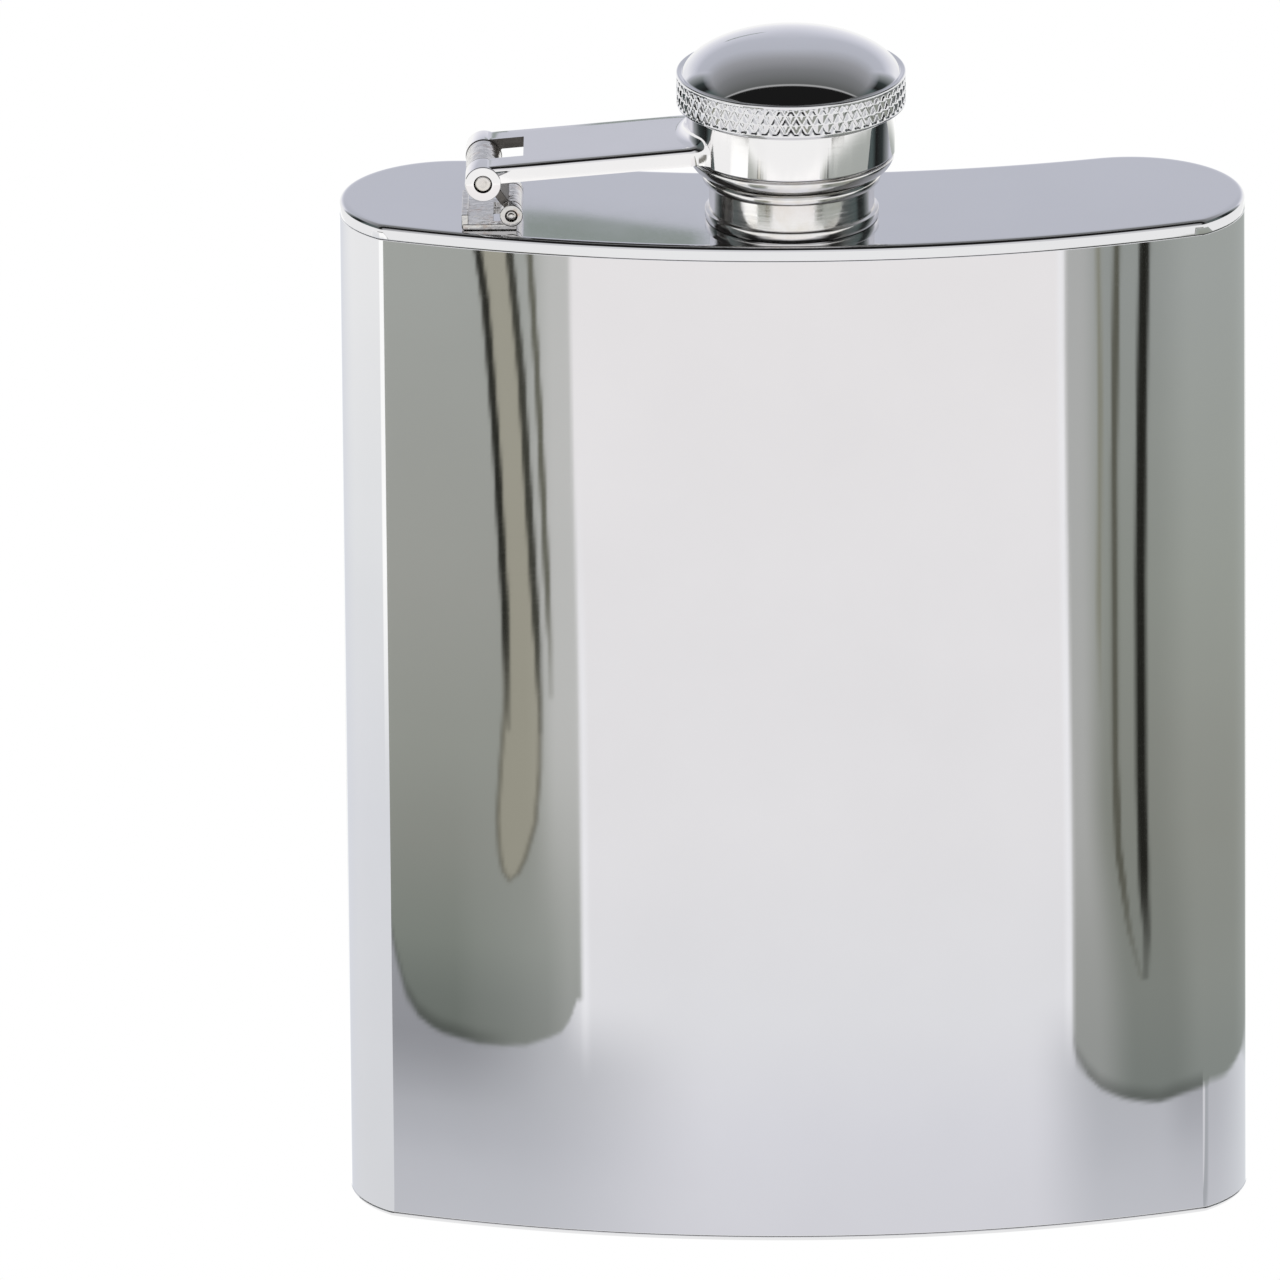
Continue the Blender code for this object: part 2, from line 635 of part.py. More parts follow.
def main():
    polished = make_material("polished_steel", POLISHED, 1.0, 0.06)
    turned_steel = make_material("turned_steel", POLISHED, 1.0, 0.12)
    grey_steel = make_material("hinge_steel", CAST_GREY, 1.0, 0.22)
    rubber = make_material("seal_rubber", (0.75, 0.74, 0.70), 0.0, 0.6)

    make_body_wrap(polished)
    make_base_plate(polished)
    make_shoulder_plate(polished)
    make_neck(turned_steel)
    make_hinge_bracket(grey_steel)
    make_pin("bracket_pin", BRACKET_PIN, BRACKET_PIN_RADIUS, BRACKET_WIDTH, grey_steel)

    link = make_hinge_link(grey_steel)
    arm_pin = make_pin("arm_pin", ARM_PIN, ARM_PIN_RADIUS, ARM_WIDTH, grey_steel)
    arm = make_swing_arm(polished)
    cap = [make_cap_shell(polished), make_cap_liner(turned_steel), make_cap_seal(rubber),
           make_retaining_ring(turned_steel)]

    link_joint = parent_to_joint("link_pivot", BRACKET_PIN, None, [link, arm_pin])
    arm_joint = parent_to_joint("arm_pivot", ARM_PIN, link_joint, [arm])
    parent_to_joint("cap_turn", (0, NECK_Y, BODY_HEIGHT), arm_joint, cap)


main()
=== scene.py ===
"""Looks of the hip flask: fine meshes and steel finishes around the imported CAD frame.

Metres, +Z up, the convex face towards -Y. Sizes come from the frame where it has them,
and the radii below are the design's own. Heights of the neck and the cap are above the
shoulder. The studio is a glowing white floor and backdrop, a sky that only reflections
see, and cards on the floor that the polished sides mirror.
"""
import json

from math import atan2, cos, hypot, pi, radians, sin, sqrt, tan

import bmesh
import bpy
from mathutils import Matrix, Vector


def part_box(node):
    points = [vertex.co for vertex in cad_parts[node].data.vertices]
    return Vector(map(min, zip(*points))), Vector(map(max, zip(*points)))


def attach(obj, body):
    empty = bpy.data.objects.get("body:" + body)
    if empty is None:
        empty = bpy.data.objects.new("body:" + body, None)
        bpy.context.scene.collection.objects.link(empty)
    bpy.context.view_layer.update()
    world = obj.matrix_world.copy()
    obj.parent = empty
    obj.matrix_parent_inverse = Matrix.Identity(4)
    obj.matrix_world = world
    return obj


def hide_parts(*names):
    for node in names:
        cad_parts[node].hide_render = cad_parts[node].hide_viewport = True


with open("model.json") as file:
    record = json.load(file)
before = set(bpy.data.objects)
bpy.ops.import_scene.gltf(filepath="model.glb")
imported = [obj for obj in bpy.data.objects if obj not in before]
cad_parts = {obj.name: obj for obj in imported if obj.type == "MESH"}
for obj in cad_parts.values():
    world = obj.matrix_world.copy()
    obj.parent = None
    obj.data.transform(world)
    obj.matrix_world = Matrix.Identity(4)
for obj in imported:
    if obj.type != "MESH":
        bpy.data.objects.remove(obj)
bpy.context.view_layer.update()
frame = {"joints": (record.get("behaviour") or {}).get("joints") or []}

MM = 0.001

# Body section and sheet
FRONT_RADIUS = 120.0 * MM
BACK_RADIUS = 118.0 * MM
END_RADIUS = 12.1 * MM
CREASE_RADIUS = 2.4 * MM
SHEET = 0.6 * MM
RIM_RADIUS = 0.55 * MM
RIM_DRAFT = 0.055 * MM              # the plates' rims lean in by this much
SHOULDER_RIM = 1.5 * MM
BASE_RIM = 0.6 * MM
SEAM = 0.03 * MM                    # half the gap between the wrap and a plate's rim
SHEET_EDGE = 0.09 * MM              # rounding of the sheets' edges at the seams
SKIRT_HEIGHT = 3.0 * MM

# Cap, neck and knurl
THREAD_PITCH = 2.0 * MM
NECK_THREAD = 7.9 * MM
NECK_THREAD_DEPTH = 0.4 * MM
LINER_THREAD = 9.65 * MM
LINER_THREAD_DEPTH = 0.25 * MM
KNURL_COUNT = 66
KNURL_DEPTH = 0.19 * MM
KNURL_PITCH = 1.06 * MM
DOME_RADIUS = 11.4 * MM
DOME_DROP = 0.9                     # share of an ellipse's fall that the dome makes
DOME_POWER = 2.4
SPIGOT_HOLE = 8.05 * MM

# Arm and hinge
ARM_SHEET = 0.6 * MM
ARM_FLANGE = 1.9 * MM
ARM_SLOPE = radians(5.0)
ARM_FILLET = 1.3 * MM
ARM_EDGE = 0.55 * MM
COLLAR_BORE = 10.45 * MM
KNUCKLE_RADIUS = 1.9 * MM
KNUCKLE_PROUD = 0.1 * MM
NOTCH_LENGTH = 4.2 * MM
LINK_THICKNESS = 0.9 * MM
BRACKET_KNUCKLE = 1.2 * MM
BRACKET_SHEET = 0.6 * MM
PIN_CLEARANCE = 0.12 * MM
SMALL_BEVEL = 0.12 * MM

BODY_LOW, BODY_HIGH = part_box("body_wrap")
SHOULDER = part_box("shoulder_plate")[1].z
FRONT_Y = BODY_LOW.y
BODY_DEPTH = BODY_HIGH.y - BODY_LOW.y
END_X = BODY_HIGH.x - END_RADIUS
END_DEPTH = BODY_DEPTH - END_RADIUS
BACK_CENTRE = END_DEPTH + sqrt((BACK_RADIUS + END_RADIUS) ** 2 - END_X ** 2)
NECK_LOW, NECK_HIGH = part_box("neck")
NECK_AXIS = (NECK_LOW + NECK_HIGH) / 2
NECK_FOOT = (NECK_AXIS.x, NECK_AXIS.y, SHOULDER)
JOINTS = {joint["name"]: Vector(joint["pos_m"]) for joint in frame["joints"]}
ARM_PIN = Vector((JOINTS["arm_pivot"].x, NECK_AXIS.y, JOINTS["arm_pivot"].z))
BRACKET_PIN = Vector((JOINTS["link_pivot"].x, NECK_AXIS.y, JOINTS["link_pivot"].z))

# The camera's line of sight and aim
AZIMUTH = radians(-0.524)
ELEVATION = radians(19.778)
ROLL = radians(-0.514)
DISTANCE = 3.0
AIM = Vector((-16.323 * MM, 0, 62.658 * MM))
LENS = 801.2
SENSOR = 36.0
SIGHT = Vector((sin(AZIMUTH) * cos(ELEVATION),
                cos(AZIMUTH) * cos(ELEVATION), -sin(ELEVATION)))
CAMERA_PLACE = AIM - SIGHT * DISTANCE

STEEL = (0.80, 0.80, 0.81)
# painted shade: the dark colour of the steel inside the arm's channel and notch and on the link
# between its eyes
PAINTED_SHADE_STEEL = (0.16, 0.15, 0.14)
DULL_ROUGHNESS = 0.45
TARNISH = (0.46, 0.34, 0.27)

# Cells of noise in a metre
WAVES = 38
SMEARS = 55
WEAR = 300
STAINS = 420
SPOTS = 650
MOTTLE = 700
LUMPS = 1100
POLISH = 1800
CROSS_HAIRLINES = 2100
HAIRLINES = 2600
GRAIN = 4200
TOOL_MARKS = 5200

# Depths of surface relief, in metres
HAIRLINE_DEPTH = 4e-7
TOOL_DEPTH = 4e-6
FINE_DEPTH = 1e-5
LUMP_DEPTH = 1e-4


# ---- small helpers

def ease(low, high, value):
    """0 below low and 1 above high, with a smooth step between them."""
    share = min(1.0, max(0.0, (value - low) / (high - low)))
    return share * share * (3 - 2 * share)


def mix(first, second, share):
    return tuple(a + (b - a) * share for a, b in zip(first, second))


def along(points, value):
    """Straight-line interpolation in a list of (position, result), rising positions."""
    for (low, first), (high, second) in zip(points, points[1:]):
        if value <= high:
            share = max(0.0, (value - low) / (high - low))
            if isinstance(first, tuple):
                return mix(first, second, share)
            return first + (second - first) * share
    return points[-1][1]


def spread(start, end, steps):
    """Evenly spaced values, both ends included."""
    return [start + (end - start) * index / steps for index in range(steps + 1)]


def arc(centre, radius, start, end, segments):
    """Points on an arc in a plane, without its last point."""
    return [centre + Vector((cos(angle), sin(angle))) * radius
            for angle in spread(start, end, segments)[:-1]]


def corner(centre_radius, centre_height, radius, start, end, segments=5):
    """A rounded corner of a turned profile, angles in degrees, both ends included."""
    return [(centre_radius + radius * cos(radians(angle)),
             centre_height + radius * sin(radians(angle)))
            for angle in spread(start, end, segments)]


def half_size(node):
    """Half a CAD node's size on each axis."""
    return [(high - low) / 2 for low, high in zip(*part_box(node))]


def join(bm, first, second, closed=True):
    """A strip of faces between two lines of vertices, round or open."""
    count = len(first)
    for index in range(count if closed else count - 1):
        following = (index + 1) % count
        bm.faces.new((first[index], first[following], second[following], second[index]))


def add_piece(name, bm):
    bmesh.ops.recalc_face_normals(bm, faces=bm.faces)
    mesh = bpy.data.meshes.new(name)
    bm.to_mesh(mesh)
    bm.free()
    obj = bpy.data.objects.new(name, mesh)
    bpy.context.scene.collection.objects.link(obj)
    return obj


def lathe(name, profile, steps, at=(0, 0, 0), shift=None, closed=False):
    """A turned solid. The profile is (radius, height); shift(radius, height, angle) moves
    the radius. Points on the axis make a single vertex."""
    bm = bmesh.new()
    rings = []
    for radius, height in profile:
        if radius < 1e-7:
            rings.append([bm.verts.new((at[0], at[1], at[2] + height))])
            continue
        ring = []
        for index in range(steps):
            angle = 2 * pi * index / steps
            moved = radius + (shift(radius, height, angle) if shift else 0)
            ring.append(bm.verts.new((at[0] + moved * cos(angle),
                                      at[1] + moved * sin(angle), at[2] + height)))
        rings.append(ring)
    pairs = list(zip(rings, rings[1:]))
    if closed:
        pairs.append((rings[-1], rings[0]))
    for upper, lower in pairs:
        for index in range(steps):
            following = (index + 1) % steps
            corners = [upper[index % len(upper)], upper[following % len(upper)],
                       lower[following % len(lower)], lower[index % len(lower)]]
            unique = list(dict.fromkeys(corners))
            if len(unique) > 2:
                bm.faces.new(unique)
    return add_piece(name, bm)


def rod(name, radius, half_length, at=(0, 0, 0), bevel=SMALL_BEVEL, steps=56, dish=0.0):
    """A round bar along Y with rounded rims. dish sinks the middle of its ends."""
    end = [(0, half_length - dish), (0.45 * radius, half_length - dish * 0.6)]
    end += corner(radius - bevel, half_length - bevel, bevel, 90, 0, 4)
    profile = end + [(r, -h) for r, h in reversed(end)]
    obj = lathe(name, profile, steps)
    obj.data.transform(Matrix.Translation(at) @ Matrix.Rotation(pi / 2, 4, "X"))
    return obj


def block(name, low, high, bevel=0.0):
    bm = bmesh.new()
    bmesh.ops.create_cube(bm, size=1.0)
    low, high = Vector(low), Vector(high)
    bmesh.ops.scale(bm, verts=bm.verts, vec=high - low)
    bmesh.ops.translate(bm, verts=bm.verts, vec=(low + high) / 2)
    if bevel:
        bmesh.ops.bevel(bm, geom=list(bm.edges), offset=bevel, segments=3, affect="EDGES",
                        profile=0.5)
    return add_piece(name, bm)


def boolean(obj, other, operation):
    """Cut or join another object, which is then removed."""
    obj.modifiers.new("flat_faces", "TRIANGULATE")
    modifier = obj.modifiers.new("boolean", "BOOLEAN")
    modifier.operation = operation
    modifier.object = other
    bpy.context.view_layer.update()
    result = obj.evaluated_get(bpy.context.evaluated_depsgraph_get())
    obj.data = bpy.data.meshes.new_from_object(result)
    obj.modifiers.clear()
    bpy.data.objects.remove(other, do_unlink=True)


def unite(obj, other):
    boolean(obj, other, "UNION")


def cut(obj, other):
    boolean(obj, other, "DIFFERENCE")


def finish_piece(obj, body, graph, node, angle):
    """Shade a piece, sharp where faces turn more than an angle, and hand it over to its
    CAD body."""
    obj.data.materials.clear()
    obj.data.materials.append(graph.owner)
    obj.data.shade_smooth()
    obj.data.set_sharp_from_angle(angle=radians(angle))
    flat = obj.modifiers.new("flat_faces_stay_flat", "WEIGHTED_NORMAL")
    flat.keep_sharp = True
    flat.weight = 100
    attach(obj, body)
    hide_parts(node)


# ---- materials

class Graph:
    """A short way to write the nodes of a material or of the sky."""

    def __init__(self, owner, coordinates):
        owner.use_nodes = True
        self.owner = owner
        self.tree = owner.node_tree
        self.shader = self.tree.nodes.get("Principled BSDF")
        self.place = self.node("ShaderNodeTexCoord").outputs[coordinates]

    def node(self, kind, **settings):
        node = self.tree.nodes.new(kind)
        for key, value in settings.items():
            if key in node.inputs:
                node.inputs[key].default_value = value
            else:
                setattr(node, key, value)
        return node

    def link(self, output, target):
        self.tree.links.new(output, target)

    def set(self, key, value):
        """Give a socket of the surface's shader a number or an output."""
        if isinstance(value, (int, float)):
            self.shader.inputs[key].default_value = value
        else:
            self.link(value, self.shader.inputs[key])

    def noise(self, per_metre, detail=3.0, stretch=(1, 1, 1), roughness=0.55):
        """Noise with so many cells in a metre, stretched along an axis by small factors."""
        mapping = self.node("ShaderNodeMapping", Scale=stretch)
        self.link(self.place, mapping.inputs["Vector"])
        noise = self.node("ShaderNodeTexNoise", Scale=per_metre, Detail=detail,
                          Roughness=roughness)
        self.link(mapping.outputs["Vector"], noise.inputs["Vector"])
        return noise.outputs["Fac"]

    def remap(self, value, low, high, to_low, to_high):
        node = self.node("ShaderNodeMapRange")
        self.link(value, node.inputs["Value"])
        for key, number in (("From Min", low), ("From Max", high), ("To Min", to_low),
                            ("To Max", to_high)):
            node.inputs[key].default_value = number
        return node.outputs["Result"]

    def math(self, operation, *values):
        node = self.node("ShaderNodeMath", operation=operation)
        for socket, value in zip(node.inputs, values):
            if isinstance(value, (int, float)):
                socket.default_value = value
            else:
                self.link(value, socket)
        return node.outputs["Value"]

    def blend(self, share, first, second):
        """A mix of two colours, or of two numbers. Each may be an output."""
        colours = not isinstance(second, float)
        node = self.node("ShaderNodeMix", data_type="RGBA" if colours else "FLOAT")
        self.link(share, node.inputs[0])
        sockets = [socket for socket in node.inputs[1:] if socket.enabled]
        for socket, value in zip(sockets, (first, second)):
            if isinstance(value, bpy.types.NodeSocket):
                self.link(value, socket)
            else:
                socket.default_value = (*value, 1) if colours else value
        return [socket for socket in node.outputs if socket.enabled][0]

    def bump(self, height, distance, strength=1.0, before=None):
        node = self.node("ShaderNodeBump", Distance=distance, Strength=strength)
        self.link(height, node.inputs["Height"])
        if before:
            self.link(before, node.inputs["Normal"])
        return node.outputs["Normal"]


def new_material(name):
    return Graph(bpy.data.materials.new(name), "Object")


def polished_steel(name, colour, roughness, wave, stretch=(1, 1, 0.25)):
    """Mirror-polished steel: fine hairlines, faint smears and a slow wave in the sheet."""
    graph = new_material(name)
    smears = graph.noise(SMEARS, 4.0)
    tone = graph.remap(smears, 0.35, 0.7, 0.0, 1.0)
    darker = tuple(channel * 0.975 for channel in colour)
    graph.set("Base Color", graph.blend(tone, colour, darker))
    graph.set("Metallic", 1.0)
    hair = graph.noise(HAIRLINES, 2.0, (0.06, 0.06, 1.0))
    cross = graph.noise(CROSS_HAIRLINES, 2.0, (1.0, 1.0, 0.05))
    hairlines = graph.math("MAXIMUM", hair, cross)
    rough = graph.remap(hairlines, 0.5, 0.85, roughness, roughness * 1.5)
    patches = graph.remap(smears, 0.3, 0.75, 0.85, 1.35)
    graph.set("Roughness", graph.math("MULTIPLY", rough, patches))
    waves = graph.bump(graph.noise(WAVES, 1.0, stretch), wave)
    graph.set("Normal", graph.bump(hairlines, HAIRLINE_DEPTH, 0.5, waves))
    return graph


def paint_shade_inside(graph):
    """Paint shade into a steel: a dark colour (painted shade), rough too, where a piece's faces
    are marked.
    """
    painted_shade_and_dull = graph.node("ShaderNodeAttribute", attribute_name="painted_shade_and_dull").outputs["Fac"]
    for name, value in (("Base Color", PAINTED_SHADE_STEEL), ("Roughness", DULL_ROUGHNESS)):
        polished = graph.shader.inputs[name].links[0].from_socket
        graph.set(name, graph.blend(painted_shade_and_dull, polished, value))


def turned_steel(name, colour, roughness, axis):
    """Machined steel: rings from the tool, a little tarnish and uneven polish."""
    graph = new_material(name)
    stretch = {"z": (0.03, 0.03, 1.0), "y": (0.03, 1.0, 0.03)}[axis]
    rings = graph.noise(TOOL_MARKS, 3.0, stretch)
    warm = (colour[0] * 0.93, colour[1] * 0.90, colour[2] * 0.84)
    tone = graph.remap(graph.noise(STAINS, 4.0), 0.45, 0.8, 0.0, 1.0)
    graph.set("Base Color", graph.blend(tone, colour, warm))
    graph.set("Metallic", 1.0)
    graph.set("Roughness", graph.remap(rings, 0.3, 0.7, roughness * 0.7, roughness * 1.6))
    worn = graph.bump(graph.noise(WEAR, 3.0), FINE_DEPTH)
    graph.set("Normal", graph.bump(rings, TOOL_DEPTH, 0.6, worn))
    return graph


def hinge_steel(name, colour, roughness):
    """Small pressed pieces, tumbled bright: pits, brown tarnish in places, soft polish."""
    graph = new_material(name)
    tone = graph.remap(graph.noise(SPOTS, 4.0, roughness=0.65), 0.54, 0.74, 0.0, 0.8)
    graph.set("Base Color", graph.blend(tone, colour, TARNISH))
    graph.set("Metallic", 1.0)
    polish = graph.noise(POLISH, 3.0)
    graph.set("Roughness", graph.remap(polish, 0.35, 0.7, roughness * 0.6, roughness * 1.7))
    lumps = graph.bump(graph.noise(LUMPS, 2.0), LUMP_DEPTH)
    pits = graph.noise(TOOL_MARKS, 3.0)
    graph.set("Normal", graph.bump(pits, FINE_DEPTH, 0.6, lumps))
    return graph


def soft_rubber(name, colour):
    """The seal: matt, slightly mottled, with a fine grain."""
    graph = new_material(name)
    mottle = graph.noise(MOTTLE, 4.0)
    darker = tuple(channel * 0.82 for channel in colour)
    tone = graph.remap(mottle, 0.35, 0.7, 0.0, 1.0)
    graph.set("Base Color", graph.blend(tone, colour, darker))
    graph.set("Roughness", graph.remap(mottle, 0.3, 0.7, 0.5, 0.72))
    graph.set("Specular IOR Level", 0.35)
    graph.set("Normal", graph.bump(graph.noise(GRAIN, 2.0), FINE_DEPTH))
    return graph


# ---- body

def circle_crossing(first, first_radius, second, second_radius):
    """The outer crossing of two circles."""
    gap = second - first
    distance = gap.length
    reach = (first_radius ** 2 - second_radius ** 2 + distance ** 2) / (2 * distance)
    across = sqrt(first_radius ** 2 - reach ** 2)
    unit = gap / distance
    side = Vector((-unit.y, unit.x))
    base = first + unit * reach
    return max(base + side * across, base - side * across, key=lambda point: point.x)


def body_outline(inset):
    """The body's section, counter-clockwise, moved inwards, with a rounded crease."""
    front = Vector((0, FRONT_RADIUS))
    end = Vector((END_X, END_DEPTH))
    back = Vector((0, BACK_CENTRE))
    rounding = max(CREASE_RADIUS - inset, 0.15 * MM)
    crease = circle_crossing(front, FRONT_RADIUS - inset - rounding,
                             end, END_RADIUS - inset - rounding)
    from_front = atan2(*reversed(crease - front))
    from_end = atan2(*reversed(crease - end))
    to_back = atan2(*reversed(back - end))
    right = arc(front, FRONT_RADIUS - inset, -pi / 2, from_front, 60)
    right += arc(crease, rounding, from_front, from_end, 8)
    for start, finish, segments in ((from_end, 0, 14), (0, pi / 2, 24),
                                    (pi / 2, to_back, 6)):
        right += arc(end, END_RADIUS - inset, start, finish, segments)
    right += arc(back, BACK_RADIUS + inset, to_back - pi, -pi / 2, 50)
    right.append(Vector((0, BACK_CENTRE - BACK_RADIUS - inset)))
    left = [Vector((-point.x, point.y)) for point in reversed(right[1:-1])]
    return [(point.x, point.y + FRONT_Y) for point in right + left]


def ring_walls(bm, rings):
    """Side faces through (inset, height) rings of the body's section."""
    loops = []
    for inset, height in rings:
        loops.append([bm.verts.new((x, y, height)) for x, y in body_outline(inset)])
    for lower, upper in zip(loops, loops[1:]):
        join(bm, lower, upper)
    return loops


def make_wrap():
    low = BASE_RIM + SEAM
    high = SHOULDER - SHOULDER_RIM - SEAM
    edge = SHEET_EDGE
    rings = [(edge, low), (edge * 0.3, low + edge * 0.3), (0, low + edge)]
    rings += [(0, height) for height in spread(low + edge, high - edge, 10)[1:]]
    rings += [(edge * 0.3, high - edge * 0.3), (edge, high), (SHEET, high), (SHEET, low)]
    bm = bmesh.new()
    loops = ring_walls(bm, rings)
    join(bm, loops[-1], loops[0])
    return add_piece("body_wrap_sheet", bm)


def pan_rings(rim_height):
    """A pressed plate's rings, up from its flat at height 0."""
    rings = [(RIM_RADIUS + 0.35 * MM, 0)]
    for angle in spread(0, pi / 2, 8):
        rings.append((RIM_DRAFT + RIM_RADIUS * (1 - sin(angle)),
                      RIM_RADIUS * (1 - cos(angle))))
    edge = SHEET_EDGE
    skirt_outside = SHEET + 0.1 * MM
    skirt_inside = skirt_outside + SHEET
    rings += [(0, rim_height - edge), (edge * 0.3, rim_height - edge * 0.3),
              (edge, rim_height), (skirt_outside, rim_height),
              (skirt_outside, rim_height + SKIRT_HEIGHT),
              (skirt_inside, rim_height + SKIRT_HEIGHT), (skirt_inside, SHEET)]
    return rings


def make_base():
    bm = bmesh.new()
    loops = ring_walls(bm, pan_rings(BASE_RIM))
    bm.faces.new(loops[0])
    bm.faces.new(loops[-1])
    return add_piece("base_plate_pressing", bm)


def make_shoulder():
    """The same pressing turned over, with a round hole for the neck's spigot."""
    bm = bmesh.new()
    loops = ring_walls(bm, [(inset, SHOULDER - height)
                            for inset, height in pan_rings(SHOULDER_RIM)])
    steps = 72
    holes = []
    for loop in (loops[0], loops[-1]):
        height = loop[0].co.z
        ring = []
        for index in range(steps):
            angle = 2 * pi * index / steps
            ring.append(bm.verts.new((NECK_AXIS.x + SPIGOT_HOLE * cos(angle),
                                      NECK_AXIS.y + SPIGOT_HOLE * sin(angle), height)))
        holes.append(ring)
        edges = [bm.edges.new((a, b)) for a, b in zip(ring, ring[1:] + ring[:1])]
        edges += [bm.edges.get((a, b)) for a, b in zip(loop, loop[1:] + loop[:1])]
        bmesh.ops.triangle_fill(bm, edges=edges, use_beauty=True)
    join(bm, *holes)
    return add_piece("shoulder_plate_pressing", bm)


# ---- neck and cap

def ridge(height, angle, low, high, depth):
    """A screw thread's rise at a height and angle, fading out at both ends."""
    if not low < height < high:
        return 0.0
    phase = (height / THREAD_PITCH - angle / (2 * pi)) % 1.0
    rise = max(0.0, cos(2 * pi * phase)) ** 0.7
    fade = min(1.0, (height - low) / THREAD_PITCH, (high - height) / THREAD_PITCH)
    return depth * rise * fade


def thread_shift(crest, low, high, depth):
    """The shift for a lathe that cuts a thread into the profile's points at the crest."""
    def shift(radius, height, angle):
        if abs(radius - crest) > 0.01 * MM:
            return 0.0
        return ridge(height, angle, low, high, depth)

    return shift


def levels(top, bottom, step):
    return spread(top, bottom, max(1, round((top - bottom) / step)))


def mm_profile(points):
    return [(radius * MM, height * MM) for radius, height in points]


def make_neck():
    """Spout with a thread, a round bead, a plain waist, a foot and a spigot."""
    low, high = 5.8 * MM, 10.7 * MM
    profile = mm_profile([(7.2, 11.1), (7.35, 11.27), (7.6, 11.27), (7.85, 11.05)])
    profile += [(NECK_THREAD, height) for height in levels(high, low, 0.1 * MM)]
    profile += mm_profile([(7.9, 5.7), (8.1, 5.55), (8.5, 5.5)]
                          + corner(8.65, 4.75, 0.75, 88, -86, 14)
                          + [(8.66, 3.9), (8.65, 2.6), (8.65, 1.14), (8.69, 1.1),
                             (9.04, 1.09), (9.08, 1.07), (9.1, 1.02), (9.1, 0.3),
                             (9.0, 0.06), (8.0, 0.06), (8.0, -1.6), (7.3, -1.6),
                             (7.2, -1.5)])
    thread = thread_shift(NECK_THREAD, low, high, NECK_THREAD_DEPTH)
    return lathe("neck_spout", profile, 144, NECK_FOOT, thread, closed=True)


def dome_height(share):
    """From the dome's middle (0) to its edge (1), where it meets the rim at a slant."""
    edge = sqrt(1 - DOME_DROP)
    rise = (sqrt(1 - DOME_DROP * share ** DOME_POWER) - edge) / (1 - edge)
    return (16.1 + 3.7 * rise) * MM


def triangle_wave(value):
    """0 at whole numbers and 1 half-way between them."""
    return 1 - abs(2 * (value % 1.0) - 1)


def knurl(radius, height, angle):
    """Crossed helical grooves between plain edges, cut into the rim."""
    low, high = 12.82 * MM, 15.72 * MM
    if radius < 11.95 * MM or not low < height < high:
        return 0.0
    around = angle * KNURL_COUNT / (2 * pi)
    up = (height - low) / KNURL_PITCH
    diamond = min(triangle_wave(around + up / 2), triangle_wave(around - up / 2))
    fade = min(1.0, (height - low) / (0.12 * MM), (high - height) / (0.12 * MM))
    return -KNURL_DEPTH * (1 - min(1.0, diamond * 1.5)) * fade


def make_cap_shell():
    """The domed top and the knurled rim, rolled in under the liner's flange."""
    shares = [sin(angle) for angle in spread(0, pi / 2, 34)]
    dome = [(DOME_RADIUS * share, dome_height(share)) for share in shares]
    profile = list(dome)
    profile += mm_profile([(11.46, 16.04), (11.6, 16.06)]
                          + corner(11.82, 15.92, 0.18, 110, 0, 5))
    profile += [(12.0 * MM, height) for height in levels(15.8 * MM, 12.74 * MM, 0.085 * MM)]
    profile += mm_profile(corner(11.8, 12.7, 0.2, 0, -90, 4)
                          + [(10.42, 12.5), (10.42, 13.1), (11.3, 13.1), (11.3, 16.2)])
    for radius, height in reversed(dome[:-1:3]):
        profile.append((radius * 11.3 / 11.4, height - 0.6 * MM))
    return lathe("cap_dome", profile, KNURL_COUNT * 10, NECK_FOOT, knurl)


def make_liner():
    """The threaded cup inside the cap."""
    low, high = 7.4 * MM, 11.3 * MM
    profile = mm_profile([(0, 14.4), (10.9, 14.4), (11.0, 14.3), (11.0, 13.4), (10.12, 13.4),
                          (10.12, 7.4), (9.85, 7.4), (9.85, 5.9), (9.75, 5.8), (9.5, 5.8),
                          (9.4, 5.9), (9.4, 7.1)])
    profile += [(LINER_THREAD, height) for height in reversed(levels(high, low, 0.15 * MM))]
    profile += mm_profile([(9.65, 13.4), (0, 13.4)])
    thread = thread_shift(LINER_THREAD, low, high, -LINER_THREAD_DEPTH)
    return lathe("cap_liner_cup", profile, 120, NECK_FOOT, thread)


def make_seal():
    """The soft disc, with the ring that the neck's rim has pressed into it."""
    profile = [(0, 13.1)] + corner(8.7, 12.8, 0.3, 90, 0, 4) + corner(8.7, 11.9, 0.3, 0, -90, 4)
    profile += [(8.2, 11.6), (8.0, 11.64), (7.75, 11.72), (7.4, 11.72), (7.15, 11.64),
                (6.9, 11.6), (0, 11.6)]
    return lathe("cap_seal_disc", mm_profile(profile), 96, NECK_FOOT)


def make_ring():
    """The ring under the collar, rounded towards the neck."""
    profile = [(10.1, 7.1), (10.6, 7.1), (10.72, 7.02), (10.75, 6.9), (10.72, 6.7)]
    profile += [(10.6, 6.4), (10.42, 6.1), (10.25, 5.88), (10.15, 5.8), (9.95, 5.8),
                (9.92, 5.85), (9.92, 7.05)]
    return lathe("retaining_ring_turned", mm_profile(profile), 120, NECK_FOOT, closed=True)


# ---- swing arm
# Made about the arm's pin at the scene's origin, then moved to it.

